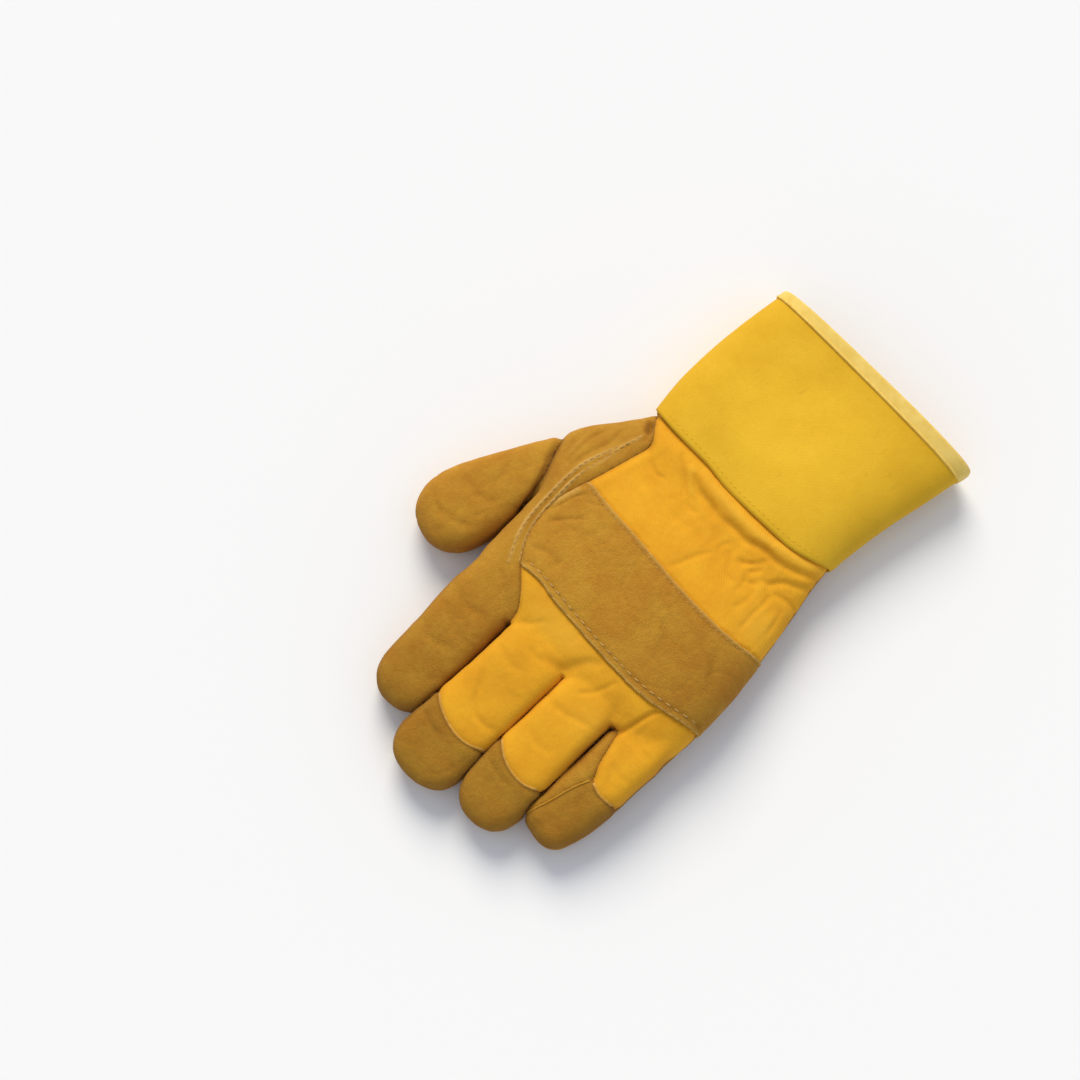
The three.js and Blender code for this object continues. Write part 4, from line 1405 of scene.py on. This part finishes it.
def strap_stitches():
    """The strap's two rows of stitches, the coarser one by the fingers."""
    bm = bmesh.new()
    wrist_line, finger_line = STRAP_STITCH_LINES
    stitch_row(bm, strap_tree, wrist_line, 3.0, 2.0, 0.42)
    stitch_row(bm, strap_tree, finger_line, 4.4, 3.4, 0.75)
    settle_small(bm, "strap_stitches", THREAD, "piping")


def back_seam_stitches():
    """The stitches on the ridges beside the back seam."""
    bm = bmesh.new()
    for line in BACK_SEAM_STITCHES:
        stitch_row(bm, skin_tree, line, 3.2, 2.6, 0.6)
    settle_small(bm, "back_seam_stitches", THREAD, "piping")


def turned_edges():
    """The pale turned edges of the drill where the leather tips start, and the little finger's
    side seam."""
    bm = bmesh.new()
    limits = {"middle": (-26.2, 6.2), "ring": (7.6, 35.6), "little": (50, 62.8)}
    for name, (low, high) in limits.items():
        line = part_of(TIP_SEAMS[name], low, high, 0)
        tube(bm, cord_on(skin_tree, line, 0.75, 1.05), 0.75, 12)
    settle_small(bm, "turned_edges", DRILL_EDGE, "drill")
    bm = bmesh.new()
    tube(bm, cord_on(skin_tree, part_of(LITTLE_SIDE, -131, -101, 1), 0.5, 0.5), 0.5)
    settle_small(bm, "little_finger_side_seam", STRAP_LEATHER, "leather")


def cuff_stitches():
    """The row of fine stitches beside the cuff's seam."""
    bm = bmesh.new()
    row = cuff_rows(CUFF_START, CUFF_START + 4.2)[-1]
    base = [on_section(row, turn, cuff_fullness(turn)) for turn in TOP_TURNS[10:-10]]
    line = [(place.x, place.y + drawn_up(place.x, place.y)) for place in base]
    stitch_row(bm, cuff_tree, line, 3.0, 2.0, 0.36)
    settle_small(bm, "cuff_stitches", CUFF_CLOTH, "cuff_cloth")


def patch_stitches():
    """The stitches round the patch, and the two rows at its straight edge."""
    bm = bmesh.new()
    tree = BVHTree.FromPolygons(
        [Vector(p) for p in ((-90, 30, 0.4), (90, 30, 0.4), (90, 90, 0.4), (-90, 90, 0.4))],
        [(0, 1, 2, 3)],
    )
    left, right, end = PATCH["left"] + 3.5, PATCH["right"] - 3.5, PATCH["end"] - 2.5
    outline = ((left, 42), (left + 1.2, 60), (left + 7, 70), (left + 16, end), (right - 16, end),
               (right - 7, 70), (right - 1.2, 60), (right, 42))
    stitch_row(bm, tree, outline, from_above=False)
    for y in (41.5, 44.5):
        stitch_row(bm, tree, ((left + 3, y), (right - 3, y)), from_above=False)
    settle_small(bm, "patch_stitches", THREAD, "piping")


def finger_welt():
    """The piping at the base of the middle and ring fingers."""
    bm = bmesh.new()
    line = part_of(WELT_LINE, -25.9, 36.6, 0)
    tube(bm, cord_on(skin_tree, line, 0.9, 0.9, from_above=False), 0.9, 10)
    made = settle_small(bm, "finger_welt_piping", PIPING, "piping")
    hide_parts("finger_welt")


strap_stitches()
back_seam_stitches()
turned_edges()
cuff_stitches()
cuff_binding()
patch_stitches()
finger_welt()


# The stage: a pale floor, soft light from the thumb's side, and the photograph's camera

CAMERA = {"azimuth": 45.5, "elevation": 75.0, "distance": 1350.0, "lens": 100.0, "sensor": 36.0}
CAMERA_TARGET = (-46.36, -39.62, 15.0)


# The key light's direction, strength, colour and softness, and the light of the room
SUN = {"from": (-0.72, 0.60, 0.80), "strength": 2.65, "colour": (1.0, 0.920, 0.798), "softness": 36}
ROOM = {"colour": (0.82, 0.89, 1, 1), "strength": 0.61}


def pale_floor():
    """A pale floor, wide enough to fill the picture."""
    bm = bmesh.new()
    bmesh.ops.create_grid(bm, x_segments=1, y_segments=1, size=3.0)
    floor = object_from(bm, "floor")
    material = bpy.data.materials.new("pale floor")
    material.use_nodes = True
    shader = material.node_tree.nodes["Principled BSDF"]
    shader.inputs["Base Color"].default_value = (0.9, 0.9, 0.9, 1)
    shader.inputs["Roughness"].default_value = 0.9
    floor.data.materials.append(material)


def sunlight():
    """Even light from one side, whose source looks softness degrees wide."""
    data = bpy.data.lights.new("key", "SUN")
    data.energy = SUN["strength"]
    data.color = SUN["colour"]
    data.angle = math.radians(SUN["softness"])
    light = bpy.data.objects.new("key", data)
    light.rotation_euler = (-Vector(SUN["from"])).to_track_quat("-Z", "Y").to_euler()
    bpy.context.collection.objects.link(light)


def studio():
    """The floor, the light from the thumb's side and the bluish light of the room."""
    pale_floor()
    sunlight()
    world = bpy.data.worlds.new("studio")
    world.use_nodes = True
    background = world.node_tree.nodes["Background"]
    background.inputs["Color"].default_value = ROOM["colour"]
    background.inputs["Strength"].default_value = ROOM["strength"]
    bpy.context.scene.world = world
    bpy.context.scene.view_settings.view_transform = "Standard"


def photo_camera():
    """A camera at the photograph's viewing angle."""
    data = bpy.data.cameras.new("camera")
    data.lens = CAMERA["lens"]
    data.sensor_width = CAMERA["sensor"]
    data.clip_start = 0.01
    azimuth, elevation = math.radians(CAMERA["azimuth"]), math.radians(CAMERA["elevation"])
    back = Vector((
        math.sin(azimuth) * math.cos(elevation),
        -math.cos(azimuth) * math.cos(elevation),
        math.sin(elevation),
    ))
    camera = bpy.data.objects.new("camera", data)
    camera.location = PLAN_TO_FRAME @ (Vector(CAMERA_TARGET) + back * CAMERA["distance"])
    camera.rotation_euler = (-back).to_track_quat("-Z", "Y").to_euler()
    bpy.context.collection.objects.link(camera)
    bpy.context.scene.camera = camera


studio()
photo_camera()
